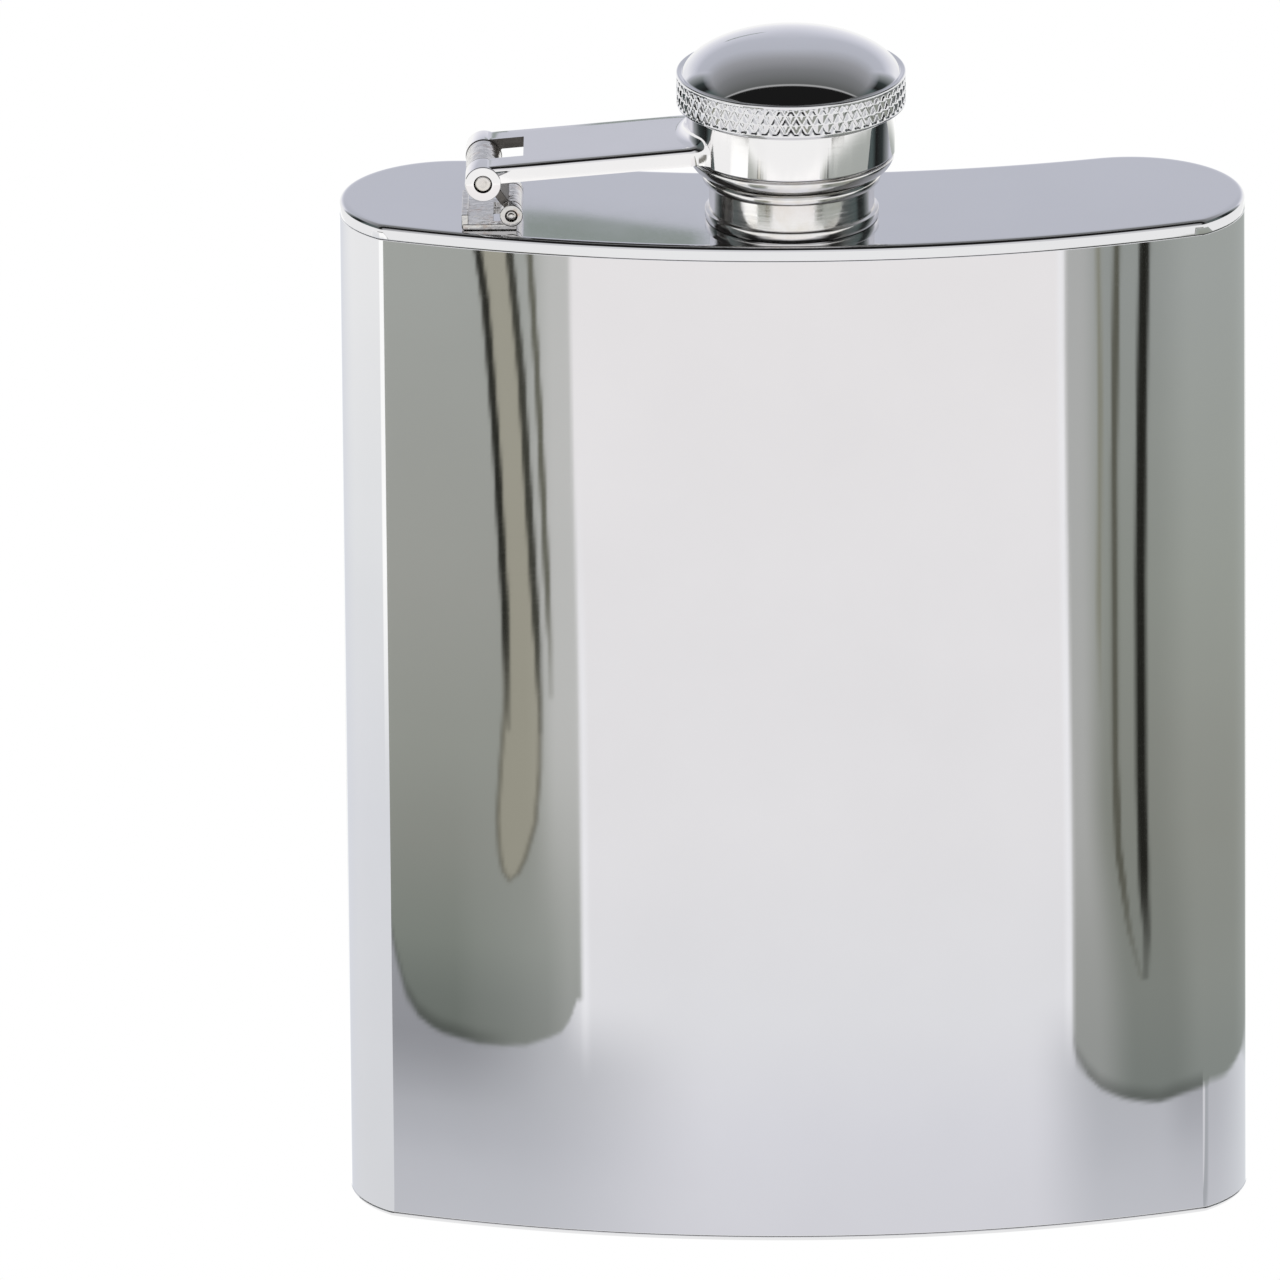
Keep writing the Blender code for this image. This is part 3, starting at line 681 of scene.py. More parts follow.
def strap_section(half_width):
    """Half-turns of the strap's channel: (y, z, outward y, outward z), z down from its
    top. An inner point has no outward direction."""
    points = [(-half_width, -ARM_FLANGE, 0, 0), (-half_width, -ARM_FLANGE + 0.1 * MM, -1, 0)]
    for angle in spread(0, pi / 2, 6):
        side, up = -cos(angle), sin(angle)
        points.append((-half_width + ARM_EDGE + ARM_EDGE * side,
                       -ARM_EDGE + ARM_EDGE * up, side, up))
    for share in spread(0, 1, 12)[1:-1]:
        points.append(((half_width - ARM_EDGE) * (2 * share - 1), 0, 0, 1))
    outer = points + [(-y, z, -out_y, out_z) for y, z, out_y, out_z in reversed(points[:9])]
    inner_half = half_width - ARM_SHEET
    inner_edge = ARM_EDGE / 2
    inner = [(inner_half, -ARM_FLANGE)]
    for angle in spread(0, pi / 2, 4):
        inner.append((inner_half - inner_edge + inner_edge * cos(angle),
                      -ARM_SHEET - inner_edge + inner_edge * sin(angle)))
    inner += [(-y, z) for y, z in reversed(inner)]
    return outer + [(y, z, 0, 0) for y, z in inner]


def make_strap(half_width, collar_x, collar_radius):
    """The strap from its knuckle to the collar, growing into the collar in a fillet."""
    section = strap_section(half_width)
    stations = [(share, 0) for share in (0, 0.15, 0.3, 0.45, 0.6, 0.75, 0.9)]
    for turn in spread(0, radians(80), 9):
        stations.append((ARM_FILLET * (1 - sin(turn)), ARM_FILLET * (1 - cos(turn))))
    stations.append((-0.3 * MM, stations[-1][1]))
    bm = bmesh.new()
    rings = []
    for number, (reach, growth) in enumerate(stations):
        ring = []
        for y, z, out_y, out_z in section:
            grown_y = y + out_y * growth
            grown_z = z + out_z * growth
            wall = collar_x - sqrt(collar_radius ** 2 - grown_y ** 2)
            x = (wall - ARM_FILLET) * reach if number < 7 else wall - reach
            top = KNUCKLE_RADIUS - KNUCKLE_PROUD + x * tan(ARM_SLOPE)
            ring.append(bm.verts.new((x, grown_y, top + grown_z)))
        rings.append(ring)
    for first, second in zip(rings, rings[1:]):
        join(bm, first, second)
    bm.faces.new(rings[0])
    bm.faces.new(rings[-1])
    bmesh.ops.triangulate(bm, faces=bm.faces)
    return add_piece("swing_arm_strap", bm)


def make_arm():
    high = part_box("swing_arm")[1]
    half_width = half_size("arm_pin")[1]
    collar_x = NECK_AXIS.x - ARM_PIN.x
    collar_radius = high.x - NECK_AXIS.x
    collar_top = high.z - ARM_PIN.z
    collar_bottom = SHOULDER + 7.4 * MM - ARM_PIN.z
    arm = make_strap(half_width, collar_x, collar_radius)
    unite(arm, rod("knuckles", KNUCKLE_RADIUS, half_width + KNUCKLE_PROUD))
    edge = 0.22 * MM
    profile = [(0, collar_top)] + corner(collar_radius - edge, collar_top - edge, edge, 90, 0)
    profile += corner(collar_radius - edge, collar_bottom + edge, edge, 0, -90)
    profile.append((0, collar_bottom))
    unite(arm, lathe("collar", profile, 144, (collar_x, 0, 0)))
    bore = [(0, collar_top + MM), (COLLAR_BORE, collar_top + MM),
            (COLLAR_BORE, collar_bottom - MM), (0, collar_bottom - MM)]
    cut(arm, lathe("collar_bore", bore, 144, (collar_x, 0, 0)))
    notch = half_size("hinge_link")[1] + 0.2 * MM
    around = 2 * KNUCKLE_RADIUS
    cut(arm, block("notch", (-around, -notch, -around), (NOTCH_LENGTH, notch, around)))
    hole = half_size("arm_pin")[2] + PIN_CLEARANCE
    cut(arm, rod("pin_hole", hole, 2 * half_width))

    def inside(face):
        """In the strap's channel or its notch."""
        x, y, z = face.center
        top = KNUCKLE_RADIUS - KNUCKLE_PROUD + x * tan(ARM_SLOPE)
        within = abs(y) < half_width - ARM_SHEET / 2 and z < top - ARM_SHEET / 2
        clear_of_knuckle = hypot(x, z) > KNUCKLE_RADIUS + KNUCKLE_PROUD / 5
        in_notch = abs(y) < notch + KNUCKLE_PROUD / 5 and abs(face.normal.y) > 0.9
        return in_notch or (within and clear_of_knuckle and x < collar_x - collar_radius)

    # painted shade in the strap's channel and its notch
    mark_painted_shade(arm.data, inside)
    arm.data.transform(Matrix.Translation(ARM_PIN))
    return arm


def mark_painted_shade(mesh, is_painted_shade):
    """Mark the faces where the material paints shade: a dark colour, and rough."""
    painted_shade_and_dull = mesh.attributes.new("painted_shade_and_dull", "FLOAT", "FACE")
    for face in mesh.polygons:
        painted_shade_and_dull.data[face.index].value = 1.0 if is_painted_shade(face) else 0.0


def make_link():
    """The short plate between the two pins, with an eye at each end."""
    half = half_size("hinge_link")[1] - KNUCKLE_PROUD
    run = ARM_PIN - BRACKET_PIN
    link = block("hinge_link_plate", (0, -half, -LINK_THICKNESS / 2),
                 (run.length, half, LINK_THICKNESS / 2), 0.1 * MM)
    link.data.transform(Matrix.Rotation(-atan2(run.z, run.x), 4, "Y"))
    eye = half + KNUCKLE_PROUD
    lower_hole = half_size("bracket_pin")[2] + PIN_CLEARANCE
    upper_hole = half_size("arm_pin")[2] + PIN_CLEARANCE
    unite(link, rod("lower_eye", BRACKET_KNUCKLE, eye))
    unite(link, rod("upper_eye", KNUCKLE_RADIUS - 0.05 * MM, eye, run))
    cut(link, rod("lower_hole", lower_hole, 2 * half))
    cut(link, rod("upper_hole", upper_hole, 2 * half, run))

    def between_eyes(face):
        x, _, z = face.center
        return min(hypot(x, z) - BRACKET_KNUCKLE,
                   hypot(x - run.x, z - run.z) - KNUCKLE_RADIUS) > 0

    # painted shade on the link between its eyes
    mark_painted_shade(link.data, between_eyes)
    link.data.transform(Matrix.Translation(BRACKET_PIN))
    return link


def make_bracket():
    """The foot on the shoulder: a plate, two knuckles and an upturned lip."""
    half = half_size("hinge_bracket")[1] - KNUCKLE_PROUD
    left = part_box("hinge_bracket")[0].x - BRACKET_PIN.x + KNUCKLE_PROUD
    foot_low = SHOULDER + 0.05 * MM - BRACKET_PIN.z
    foot_high = foot_low + BRACKET_SHEET
    lip_top = 0.1 * MM
    bracket = block("hinge_bracket_foot", (left, -half, foot_low),
                    (BRACKET_KNUCKLE / 2, half, foot_high), 0.1 * MM)
    lip_low = (left - KNUCKLE_PROUD, -half + KNUCKLE_PROUD, foot_low + 0.1 * MM)
    lip_high = (left + BRACKET_SHEET, half - KNUCKLE_PROUD, lip_top)
    unite(bracket, block("lip", lip_low, lip_high, 0.12 * MM))
    unite(bracket, rod("bracket_knuckles", BRACKET_KNUCKLE, half + KNUCKLE_PROUD))
    inner = half_size("hinge_link")[1] + 0.15 * MM
    reach = 1.6 * BRACKET_KNUCKLE
    cut(bracket, block("bracket_notch", (-reach, -inner, -2 * reach),
                       (reach, inner, 2 * reach)))
    hole = half_size("bracket_pin")[2] + PIN_CLEARANCE
    cut(bracket, rod("bracket_hole", hole, 2 * half))
    bracket.data.transform(Matrix.Translation(BRACKET_PIN))
    return bracket


def make_pin(node):
    """A pin with rounded, slightly dished ends."""
    low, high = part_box(node)
    _, half_length, radius = half_size(node)
    centre = (low + high) / 2
    return rod(node + "_turned", radius, half_length, centre, 0.2 * MM, 48, 0.12 * MM)


# ---- studio cards
# The camera sees each side mirror a patch of the floor. A card is painted in the side's
# own coordinates, (across, height) in millimetres, and laid where that patch is. Its
# greys are the ones that the steel then shows, from 0 to 1.

CENTRE_GREYS = [(0, (0.82, 0.82, 0.845)), (12, (0.835, 0.835, 0.86)),
                (25, (0.86, 0.86, 0.875)), (45, (0.88, 0.875, 0.885)),
                (110, (0.90, 0.89, 0.895))]
LOWER_GREYS = [(0, (0.74, 0.745, 0.77)), (5, (0.73, 0.735, 0.76)),
               (10, (0.708, 0.713, 0.738)), (15, (0.698, 0.703, 0.725)),
               (20, (0.69, 0.695, 0.715)), (30, (0.71, 0.715, 0.735))]
SHADE = [(7, 0), (10.7, 0.018), (13.4, 0.032), (16.1, 0.07), (18.8, 0.105), (21.5, 0.13)]
LEFT_GREYS = [(20, (0.40, 0.42, 0.40)), (26, (0.43, 0.45, 0.43)), (32, (0.48, 0.50, 0.475)),
              (43, (0.53, 0.54, 0.515)), (54, (0.565, 0.575, 0.55)),
              (71, (0.595, 0.60, 0.58)), (105, (0.62, 0.63, 0.615))]
RIGHT_GREYS = [(15, (0.46, 0.48, 0.465)), (26, (0.485, 0.50, 0.48)),
               (43, (0.50, 0.51, 0.485)), (54, (0.515, 0.525, 0.50)),
               (71, (0.54, 0.555, 0.53)), (105, (0.565, 0.58, 0.57))]

LEFT_BAND = [(-43.5, 36), (-42.9, 33), (-42.5, 30.3), (-41.3, 25.3), (-40.0, 23.1),
             (-38.7, 22.1), (-37.5, 21.5), (-36.2, 21.2), (-33.7, 20.7), (-31.1, 20.7),
             (-28.6, 21.0), (-26.0, 22.1), (-24.8, 22.8), (-23.9, 24.3), (-23.2, 26.5)]
LEFT_BAND_LIGHT = [(-36, 0), (-33.7, 0.1), (-29.4, 0.22), (-26.3, 0.32), (-24.1, 0.5)]
RIGHT_BAND = [(28.9, 21.5), (29.4, 19.0), (30.6, 16.9), (31.9, 15.4), (33.2, 14.6),
              (34.4, 14.0), (35.7, 13.6), (37.0, 13.3), (38.2, 13.1), (39.5, 13.4),
              (40.8, 13.75), (42.0, 14.0), (43.2, 14.3)]

# Dark lines in the bands, as (height, across) and their width, grey and lower end
LEFT_LINES = [
    ([(56, -30.1), (60, -30.2), (71, -30.4), (88, -31.1), (105, -32.1), (111, -32.8)],
     0.55, 0.16),
    ([(56, -26.8), (66, -27.0), (72, -27.3), (85, -27.9), (96, -28.4), (111, -29.5)],
     0.55, 0.24),
    ([(60, -25.6), (66, -25.7), (78, -26.1), (93, -26.6), (111, -27.4)], 0.45, 0.38),
]
# The brown tongue between two of the left lines: (height, left edge, right edge)
LEFT_TONGUE = [(39.4, -30.2, -30.2), (40.2, -30.8, -29.3), (42, -31.15, -28.5),
               (46, -31.4, -27.4), (52, -31.0, -26.9), (60, -30.4, -26.8),
               (71, -30.4, -27.3), (88, -31.1, -28.1), (111, -32.8, -29.5)]
RIGHT_LINES = [
    ([(58, 31.9), (72, 32.0), (92, 32.1), (111, 32.0)], 0.35, 0.50),
    ([(27, 36.4), (29, 35.9), (33, 35.0), (42, 33.9), (52, 33.6), (85, 33.6), (111, 33.9)],
     0.5, 0.34),
    ([(27, 36.8), (32, 36.9), (37, 36.6), (50, 36.35), (72, 36.3), (92, 36.5), (111, 36.8)],
     0.75, 0.13),
]

CARD_LOW = 0.4                      # the heights that the cards show, in mm
CARD_HIGH = 117
END_FADE = 111                      # from here up the ends' cards fade into the floor,
FRONT_FADE = 112                    # and the front's
FRONT_HALF = 42.9                   # half the front's width, between its creases
END_SPAN = (21, 86)                 # angles of the ends' normals that their cards show
BAND_EDGES = (-23.25, 28.3)         # the bands' edges towards the middle, at the top
OUTER_LIGHTER = 0.045               # the right band's outer part against its inner part
WHITE_GREY = (0.985, 0.985, 0.985)
EDGE_LINE = (0.925, 0.925, 0.94)    # a light line beside each band
TONGUE_BROWN = (0.60, 0.58, 0.51)
TONGUE_RIM = (0.36, 0.35, 0.31)
BACK_CARD = (0.33, 0.34, 0.33)
WEDGE_CARD = (0.29, 0.33, 0.31)
WEDGE_DISTANCE = 0.16               # metres from the shoulder

# Levels of what lies on the floor, in metres
FLOOR_LEVEL = -0.0002
FAN_LEVEL = 0.00005
END_CARD_LEVEL = 0.00008
FRONT_CARD_LEVEL = 0.0001

SKY_BEND = 0.15                     # how far the sky's bands dip at the sides
FLOOR_RADIUS = 9.0
BACKDROP_RADIUS = 9.5


def radiance(grey):
    """The light a card gives off for polished steel to show an sRGB grey."""
    return tuple(((level + 0.055) / 1.055) ** 2.4 / steel
                 for level, steel in zip(grey, STEEL))


def draw_lines(colour, lines, across, height):
    """Dark lines over a band, thin and faint at their lower ends."""
    for path, width, grey in lines:
        if height < path[0][0]:
            continue
        fade = ease(path[0][0], path[0][0] + 14, height)
        off = abs(across - along(path, height)) / (width * (0.55 + 0.45 * fade))
        share = (1 - ease(0.45, 1.0, off)) * (0.25 + 0.75 * fade)
        colour = mix(colour, (grey, grey, grey * 0.9), share)
    return colour


def left_band(across, height):
    colour = along(LEFT_GREYS, height)
    share = along(LEFT_BAND_LIGHT, across)
    share += (0.9 * ease(-28.5, -25.0, across) - share) * ease(30, 60, height)
    colour = mix(colour, (0.745, 0.745, 0.74), share)
    tongue_low = LEFT_TONGUE[0][0]
    if height > tongue_low:
        left = along([(h, a) for h, a, _ in LEFT_TONGUE], height)
        right = along([(h, b) for h, _, b in LEFT_TONGUE], height)
        inside = ease(left - 0.15, left + 0.15, across)
        inside *= 1 - ease(right - 0.15, right + 0.15, across)
        colour = mix(colour, mix(colour, TONGUE_BROWN, 0.6), inside)
        rim = min(abs(across - left), abs(across - right))
        colour = mix(colour, TONGUE_RIM, 0.55 * (1 - ease(0.1, 0.4, rim)))
    return draw_lines(colour, LEFT_LINES, across, height)


def right_band(across, height):
    colour = along(RIGHT_GREYS, height)
    high = ease(20, 50, height)
    lighter = mix(colour, (0.70, 0.70, 0.70), 0.45 + 0.3 * high)
    colour = mix(lighter, colour, ease(31.5 - 1.5 * high, 36 - 3 * high, across))
    outer = tuple(level + OUTER_LIGHTER for level in colour)
    colour = mix(colour, outer, ease(39.5 - 2 * high, 42.9 - 0.9 * high, across))
    return draw_lines(colour, RIGHT_LINES, across, height)


def front_grey(across, height):
    """The grey that the front shows at a place."""
    if across < 0:
        side = ease(8, 30, -across)
        shade = ease(24.5, 37, -across) * along(SHADE, height)
        shift = 0.55 * (1 - ease(55, 105, height))
        inward = across - BAND_EDGES[0] - shift
        bottom, band = along(LEFT_BAND, across), left_band
        dark = 0.22 * ease(29, 36, -across)
        line_share = 0.7 * ease(16, 30, height) * (1 - ease(60, 90, height))
    else:
        side = ease(24, 33, across)
        shade = 0.5 * ease(38, 41.5, across) * along(SHADE, height + 6.5)
        shift = 0.2 + 0.6 * (1 - ease(30, 105, height))
        inward = BAND_EDGES[1] + shift - across
        bottom, band = along(RIGHT_BAND, across), right_band
        dark = 0.2
        line_share = 0.7 * ease(16, 30, height)
    lower = mix(along(CENTRE_GREYS, height), along(LOWER_GREYS, height), side)
    lower = tuple(level - shade for level in lower)
    colour = mix(lower, along(CENTRE_GREYS, height),
                 ease(17, 27, height) * ease(-3, 0.5, inward))
    edge = ease(-0.3, 0.3, inward)
    steep = max(ease(39.5, 42, -across),
                ease(27, 28, across) - ease(29.5, 31, across))
    soft = 0.35 + 1.1 * steep
    below = ease(bottom + soft, bottom - soft, height)
    cover = (1 - edge) * (1 - below)
    light_line = edge * (1 - ease(0.4, 1.1, inward))
    colour = mix(colour, EDGE_LINE, line_share * light_line)
    if cover > 0:
        dark = 1 - dark * (1 - ease(0.3, 2.2, height - bottom))
        inside = tuple(level * dark for level in band(across, height))
        colour = mix(colour, inside, cover)
    return mix(colour, WHITE_GREY, ease(FRONT_FADE, CARD_HIGH, height))


def mirrored(point, normal):
    """The direction in which a mirror at a point shows the camera."""
    sight = (point - CAMERA_PLACE).normalized()
    return sight - 2 * sight.dot(normal) * normal


def front_place(across):
    x = across * MM
    y = -sqrt(FRONT_RADIUS ** 2 - x ** 2)
    return Vector((x, FRONT_Y + FRONT_RADIUS + y)), Vector((x, y)) / FRONT_RADIUS


def right_end_place(degrees):
    """A place on the right end, by its normal's angle from the front."""
    angle = radians(degrees)
    normal = Vector((sin(angle), -cos(angle)))
    return Vector((END_X, FRONT_Y + END_DEPTH)) + normal * END_RADIUS, normal


def left_end_place(degrees):
    place, normal = right_end_place(degrees)
    return Vector((-place.x, place.y)), Vector((-normal.x, normal.y))


def right_end_grey(degrees, height):
    """The band's grey, lighter to the side. Below it the crease has a light and a dark
    line."""
    bottom = 14.7 + 1.8 * ease(50, 78, degrees)
    low = mix(along(LOWER_GREYS, height), (0.80, 0.81, 0.83), ease(40, 80, degrees))
    low = mix((0.64, 0.65, 0.67), low, ease(34, 40, degrees))
    low = mix((0.80, 0.80, 0.82), low, ease(28, 30, degrees))
    high = tuple(level + OUTER_LIGHTER for level in along(RIGHT_GREYS, height))
    high = mix(high, (0.66, 0.68, 0.68), 0.4 * ease(60, 85, degrees))
    soft = 0.5 + 4 * ease(70, 84, degrees)
    colour = mix(low, high, ease(bottom - soft, bottom + soft, height))
    return mix(colour, WHITE_GREY, card_edge(degrees, height))


def card_edge(degrees, height):
    """How far an end's card has faded into the white floor at its edges."""
    return max(ease(END_FADE, CARD_HIGH, height),
               ease(79, END_SPAN[1], degrees))


def left_end_grey(degrees, height):
    """Nearly white, with a white line high in the crease."""
    lighter = along([(0, (0.83, 0.835, 0.85)), (45, (0.84, 0.845, 0.865)),
                     (75, (0.87, 0.875, 0.885)), (111, (0.905, 0.905, 0.91))], height)
    colour = mix(lighter, (0.80, 0.81, 0.84), ease(60, 85, degrees))
    line = (1 - ease(32, 34, degrees)) * ease(45, 75, height)
    return mix(colour, WHITE_GREY, max(line, card_edge(degrees, height)))


def glow_material(name, colour=None):
    """Light of one colour, or of the mesh's own colours, whose alpha thins it out."""
    material = bpy.data.materials.new(name)
    material.use_nodes = True
    nodes, links = material.node_tree.nodes, material.node_tree.links
    nodes.clear()
    output = nodes.new("ShaderNodeOutputMaterial")
    emission = nodes.new("ShaderNodeEmission")
    if colour:
        emission.inputs["Color"].default_value = (*colour, 1)
        links.new(emission.outputs["Emission"], output.inputs["Surface"])
        return material
    attribute = nodes.new("ShaderNodeAttribute")
    attribute.attribute_name = "glow"
    blend = nodes.new("ShaderNodeMixShader")
    links.new(attribute.outputs["Color"], emission.inputs["Color"])
    links.new(attribute.outputs["Alpha"], blend.inputs[0])
    links.new(nodes.new("ShaderNodeBsdfTransparent").outputs["BSDF"], blend.inputs[1])
    links.new(emission.outputs["Emission"], blend.inputs[2])
    links.new(blend.outputs["Shader"], output.inputs["Surface"])
    return material


def make_card(name, lines, closed=False):
    """A card that only reflections see, from lines of (place, colour), each colour with
    its alpha. Closed lines are rings, and the first of them is filled."""
    bm = bmesh.new()
    glow = bm.verts.layers.float_color.new("glow")
    grid = []
    for line in lines:
        grid.append([bm.verts.new(place) for place, _ in line])
        for vertex, (_, colour) in zip(grid[-1], line):
            vertex[glow] = colour
    if closed:
        bm.faces.new(grid[0])
    for first, second in zip(grid, grid[1:]):
        join(bm, first, second, closed)
    card = add_piece(name, bm)
    card.data.materials.append(glow_material(name))
    card.visible_camera = card.visible_diffuse = card.visible_shadow = False


def floor_card(name, place, grey, columns, rows, span, level):
    """A card on the floor, painted so that a side of the body shows grey(across, height).
    level is its own height above the floor."""
    lines = []
    for across in spread(*span, columns):
        point, normal = place(across)
        line = []
        for height in spread(CARD_LOW, CARD_HIGH, rows):
            seen = Vector((*point, height * MM))
            ray = mirrored(seen, normal.to_3d())
            spot = seen - ray * (seen.z / ray.z)
            line.append(((spot.x, spot.y, level), (*radiance(grey(across, height)), 1)))
        lines.append(line)
    make_card(name, lines)


def fan_card(name, colour, angles, distances, soft):
    """A flat card round the neck, between two angles from the front, in degrees. Its edges
    fade into the white floor over a share of its width and its depth."""
    steps = spread(0, 1, 40)
    lines = []
    for deep in steps:
        distance = (distances[0] + (distances[1] - distances[0]) * deep) * MM
        line = []
        for wide in steps:
            angle = radians(angles[0] + (angles[1] - angles[0]) * wide)
            share = ease(0, soft[0], min(wide, 1 - wide))
            share *= ease(0, soft[1], min(deep, 1 - deep))
            line.append(((NECK_AXIS.x + distance * sin(angle),
                          NECK_AXIS.y - distance * cos(angle), FAN_LEVEL),
                         (*mix((1, 1, 1), colour, share), 1)))
        lines.append(line)
    make_card(name, lines)


def wedge_card():
    """A grey-green card behind the flask, which the shoulder shows as a wedge between the
    hinge and the neck. Its corners are given on the shoulder, (x, y) in millimetres, and
    its rings fade outwards."""
    corners = [Vector(place) for place in
               ((-29, -13.5), (-29, -1.0), (-22, -3.0), (-9, -8.6), (-9, -15.5))]
    centre = sum(corners, Vector((0, 0))) / len(corners)
    rings = []
    for size, cover in ((0.84, 1), (0.93, 0.7), (1.06, 0.25), (1.16, 0)):
        ring = []
        for number, first in enumerate(corners):
            second = corners[(number + 1) % len(corners)]
            for step in range(6):
                place = centre + (first.lerp(second, step / 6) - centre) * size
                seen = Vector((*(place * MM), SHOULDER))
                spot = seen + mirrored(seen, Vector((0, 0, 1))) * WEDGE_DISTANCE
                ring.append((spot, (*WEDGE_CARD, cover)))
        rings.append(ring)
    make_card("card_wedge", rings, closed=True)


def make_cards():
    floor_card("card_front", front_place, front_grey, 300, 290, (-FRONT_HALF, FRONT_HALF),
               FRONT_CARD_LEVEL)
    for name, place, grey in (("right", right_end_place, right_end_grey),
                              ("left", left_end_place, left_end_grey)):
        floor_card("card_end_" + name, place, grey, 66, 220, END_SPAN, END_CARD_LEVEL)
    for name, grey, angles in (("left", 0.21, (-78, -46)), ("right", 0.18, (43, 61))):
        warm = (grey, grey * 0.97, grey * 0.88)
        fan_card("card_collar_" + name, warm, angles, (300, 440), (0.12, 0.2))
    wedge_card()
    for number, angles in enumerate(((143, 175), (192, 236))):
        fan_card("card_back_" + str(number), BACK_CARD, angles, (50, 360), (0.3, 0.35))


# ---- studio

def make_floor():
    """A round white floor, inside a white sphere that only the camera sees."""
    bm = bmesh.new()
    bmesh.ops.create_circle(bm, cap_ends=True, segments=64, radius=FLOOR_RADIUS)
    bmesh.ops.translate(bm, verts=bm.verts, vec=(0, 0, FLOOR_LEVEL))
    floor = add_piece("floor", bm)
    bm = bmesh.new()
    bmesh.ops.create_uvsphere(bm, u_segments=48, v_segments=24, radius=BACKDROP_RADIUS)
    backdrop = add_piece("backdrop", bm)
    backdrop.visible_glossy = backdrop.visible_diffuse = backdrop.visible_shadow = False
    for obj in (floor, backdrop):
        obj.data.materials.append(glow_material("white_" + obj.name, (1.0, 1.0, 1.0)))


def make_ramp(graph, value, stops):
    """Colours by position, from 0 to 1. A single number stands for a grey."""
    node = graph.node("ShaderNodeValToRGB")
    elements = node.color_ramp.elements
    elements.remove(elements[-1])
    for index, (position, colour) in enumerate(stops):
        element = elements.new(position) if index else elements[0]
        element.position = position
        element.color = (*(colour if isinstance(colour, tuple) else (colour,) * 3), 1)
    graph.link(value, node.inputs["Fac"])
    return node.outputs["Color"]


def make_sky():
    """Light by direction. Over the top, from the back (0) to the front (1), it is lavender
    low down, then darker, with a light line at the zenith, a black field and white in
    front. Below that, around from the back (0) to the front (1), it is nearly black at the
    sides and light in front."""
    world = bpy.data.worlds.new("studio_sky")
    bpy.context.scene.world = world
    sky = Graph(world, "Generated")
    parts = sky.node("ShaderNodeSeparateXYZ")
    sky.link(sky.place, parts.inputs["Vector"])
    x, y, z = parts.outputs
    bend = sky.math("MULTIPLY", sky.math("MULTIPLY", x, x), SKY_BEND)
    over = sky.math("DIVIDE", sky.math("ARCTAN2", z, y), pi)
    over = sky.math("SUBTRACT", over, bend)
    around = sky.math("DIVIDE", sky.math("ARCTAN2", sky.math("ABSOLUTE", x), y), pi)
    above = make_ramp(sky, over, [
        (0.0, (0.95, 0.95, 0.99)), (0.075, (0.70, 0.71, 0.79)), (0.112, (0.555, 0.57, 0.64)),
        (0.17, (0.54, 0.555, 0.62)), (0.24, (0.37, 0.375, 0.40)), (0.33, (0.235, 0.24, 0.25)),
        (0.44, (0.15, 0.155, 0.155)), (0.466, (0.13, 0.135, 0.135)), (0.476, 0.45),
        (0.484, 0.45), (0.494, 0.012), (0.80, 0.012), (0.84, (0.72, 0.72, 0.71)), (1.0, 0.9)])
    beside = make_ramp(sky, around, [
        (0.0, (0.6, 0.61, 0.7)), (0.225, (0.62, 0.63, 0.70)), (0.27, (0.30, 0.32, 0.33)),
        (0.33, (0.04, 0.05, 0.05)), (0.40, 0.015), (0.44, (0.10, 0.13, 0.13)),
        (0.58, (0.12, 0.13, 0.13)), (0.66, 0.02), (0.71, 0.02), (0.80, (0.70, 0.70, 0.72)),
        (1.0, (0.80, 0.80, 0.83))])
    low = sky.remap(z, 0.62, 0.48, 0.0, 1.0)
    sideways = sky.remap(around, 0.21, 0.24, 0.0, 1.0)
    mixed = sky.blend(sky.math("MULTIPLY", low, sideways), above, beside)
    sky.link(mixed, sky.tree.nodes["Background"].inputs["Color"])


def make_softbox():
    """A broad soft light from above. Mirrors don't see it, matt pieces do."""
    data = bpy.data.lights.new("softbox", "AREA")
    data.shape = "RECTANGLE"
    data.size = 1.2
    data.size_y = 0.9
    data.energy = 12
    lamp = bpy.data.objects.new("softbox", data)
    bpy.context.scene.collection.objects.link(lamp)
    lamp.location = (-0.4, -0.8, 1.4)
    lamp.rotation_euler = (-lamp.location).to_track_quat("-Z", "Y").to_euler()
    lamp.visible_glossy = False


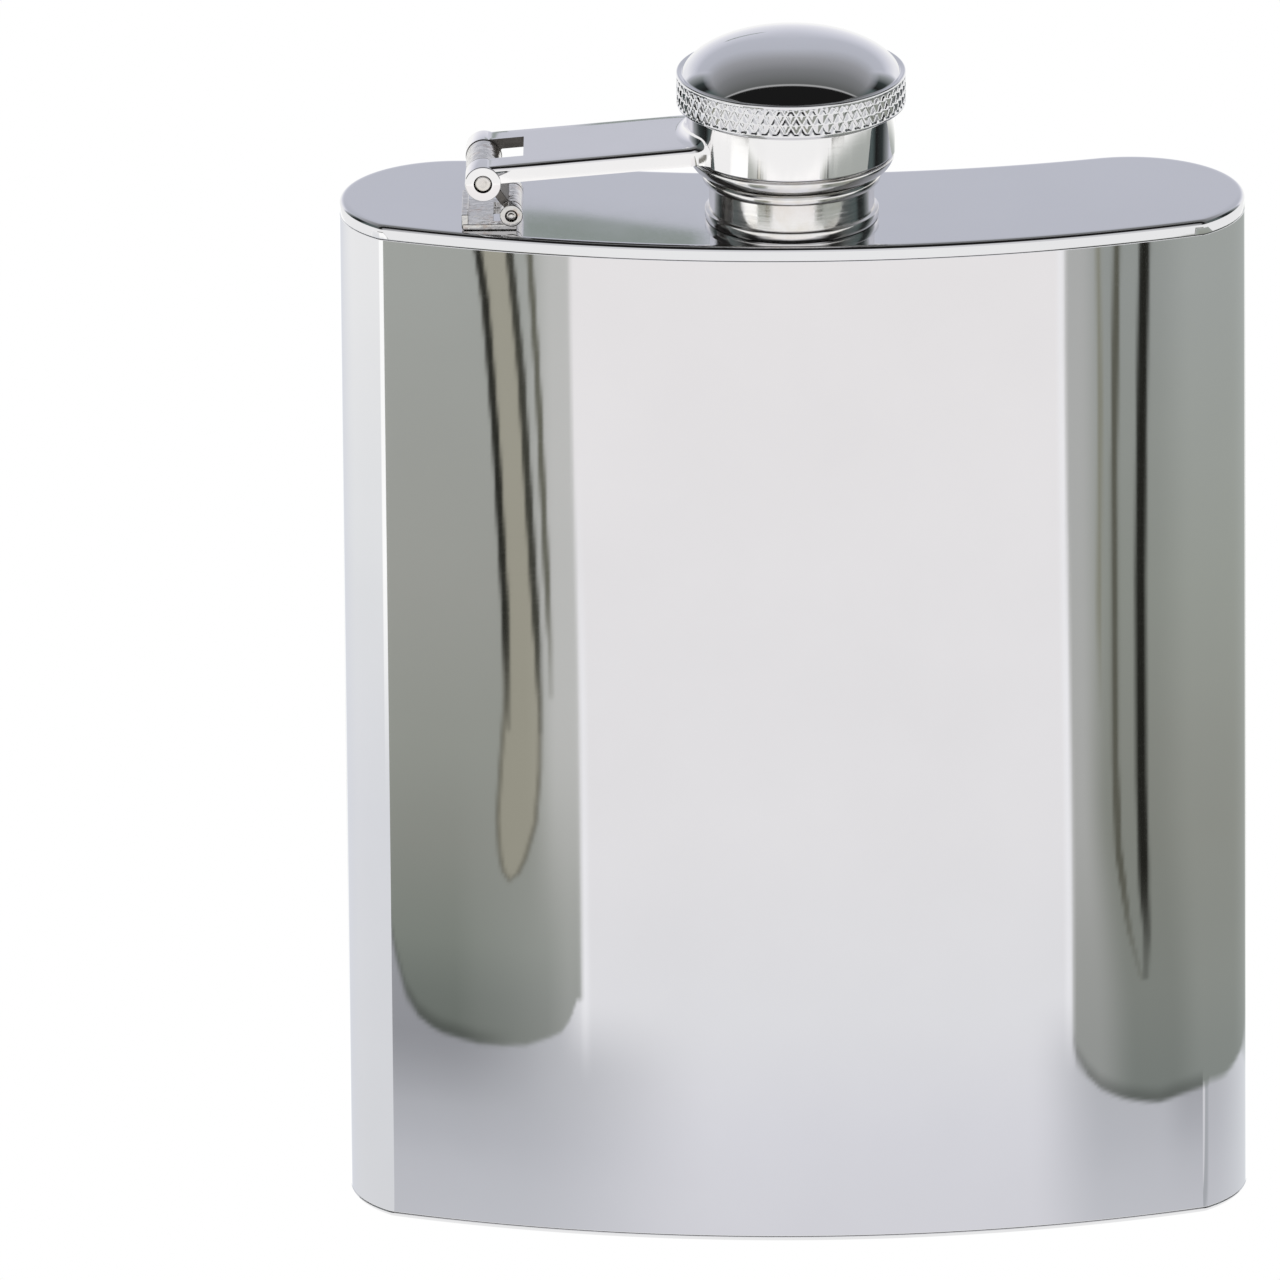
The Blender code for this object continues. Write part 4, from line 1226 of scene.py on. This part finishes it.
def make_camera():
    right = Vector((cos(AZIMUTH), -sin(AZIMUTH), 0))
    up = right.cross(SIGHT)
    turned_right = right * cos(ROLL) + up * sin(ROLL)
    turned_up = up * cos(ROLL) - right * sin(ROLL)
    data = bpy.data.cameras.new("camera")
    data.lens = LENS
    data.sensor_width = SENSOR
    data.clip_start = 0.1
    data.clip_end = 60.0
    camera = bpy.data.objects.new("camera", data)
    bpy.context.scene.collection.objects.link(camera)
    basis = Matrix((turned_right, turned_up, -SIGHT)).transposed()
    camera.matrix_world = Matrix.Translation(CAMERA_PLACE) @ basis.to_4x4()
    bpy.context.scene.camera = camera


# ---- main

def make_flask():
    sheet = polished_steel("polished_sheet", STEEL, 0.022, 0.000012)
    plate = polished_steel("polished_plate", STEEL, 0.035, 0.000008, (1, 1, 1))
    arm_steel = polished_steel("polished_arm", (0.88, 0.87, 0.87), 0.04, 0.000006, (1, 1, 1))
    # the arm gets painted shade in its channel and notch
    paint_shade_inside(arm_steel)
    cap_steel = polished_steel("polished_cap", STEEL, 0.035, 0.000004, (1, 1, 1))
    turned = turned_steel("turned_steel", (0.82, 0.81, 0.80), 0.12, "z")
    pins = turned_steel("pin_steel", (0.78, 0.76, 0.73), 0.2, "y")
    hinge = hinge_steel("hinge_steel", (0.66, 0.65, 0.63), 0.16)
    # the link gets painted shade between its eyes
    paint_shade_inside(hinge)
    rubber = soft_rubber("seal_rubber", (0.72, 0.70, 0.64))

    for piece, body, slot, steel, node, angle in (
            (make_wrap(), "flask", "body_sheet", sheet, "body_wrap", 25),
            (make_base(), "flask", "plate_sheet", plate, "base_plate", 30),
            (make_shoulder(), "flask", "plate_sheet", plate, "shoulder_plate", 30),
            (make_neck(), "flask", "turned_steel", turned, "neck", 50),
            (make_bracket(), "flask", "hinge_steel", hinge, "hinge_bracket", 30),
            (make_pin("bracket_pin"), "flask", "pin_steel", pins, "bracket_pin", 30),
            (make_link(), "link", "hinge_steel", hinge, "hinge_link", 30),
            (make_pin("arm_pin"), "link", "pin_steel", pins, "arm_pin", 30),
            (make_arm(), "arm", "arm_steel", arm_steel, "swing_arm", 30),
            (make_cap_shell(), "cap", "cap_steel", cap_steel, "cap_shell", 40),
            (make_liner(), "cap", "turned_steel", turned, "cap_liner", 50),
            (make_seal(), "cap", "seal_rubber", rubber, "cap_seal", 30),
            (make_ring(), "cap", "turned_steel", turned, "retaining_ring", 30)):
        finish_piece(piece, body, steel, node, angle)


bpy.context.scene.view_settings.view_transform = "Standard"
make_camera()
make_flask()
make_floor()
make_cards()
make_sky()
make_softbox()
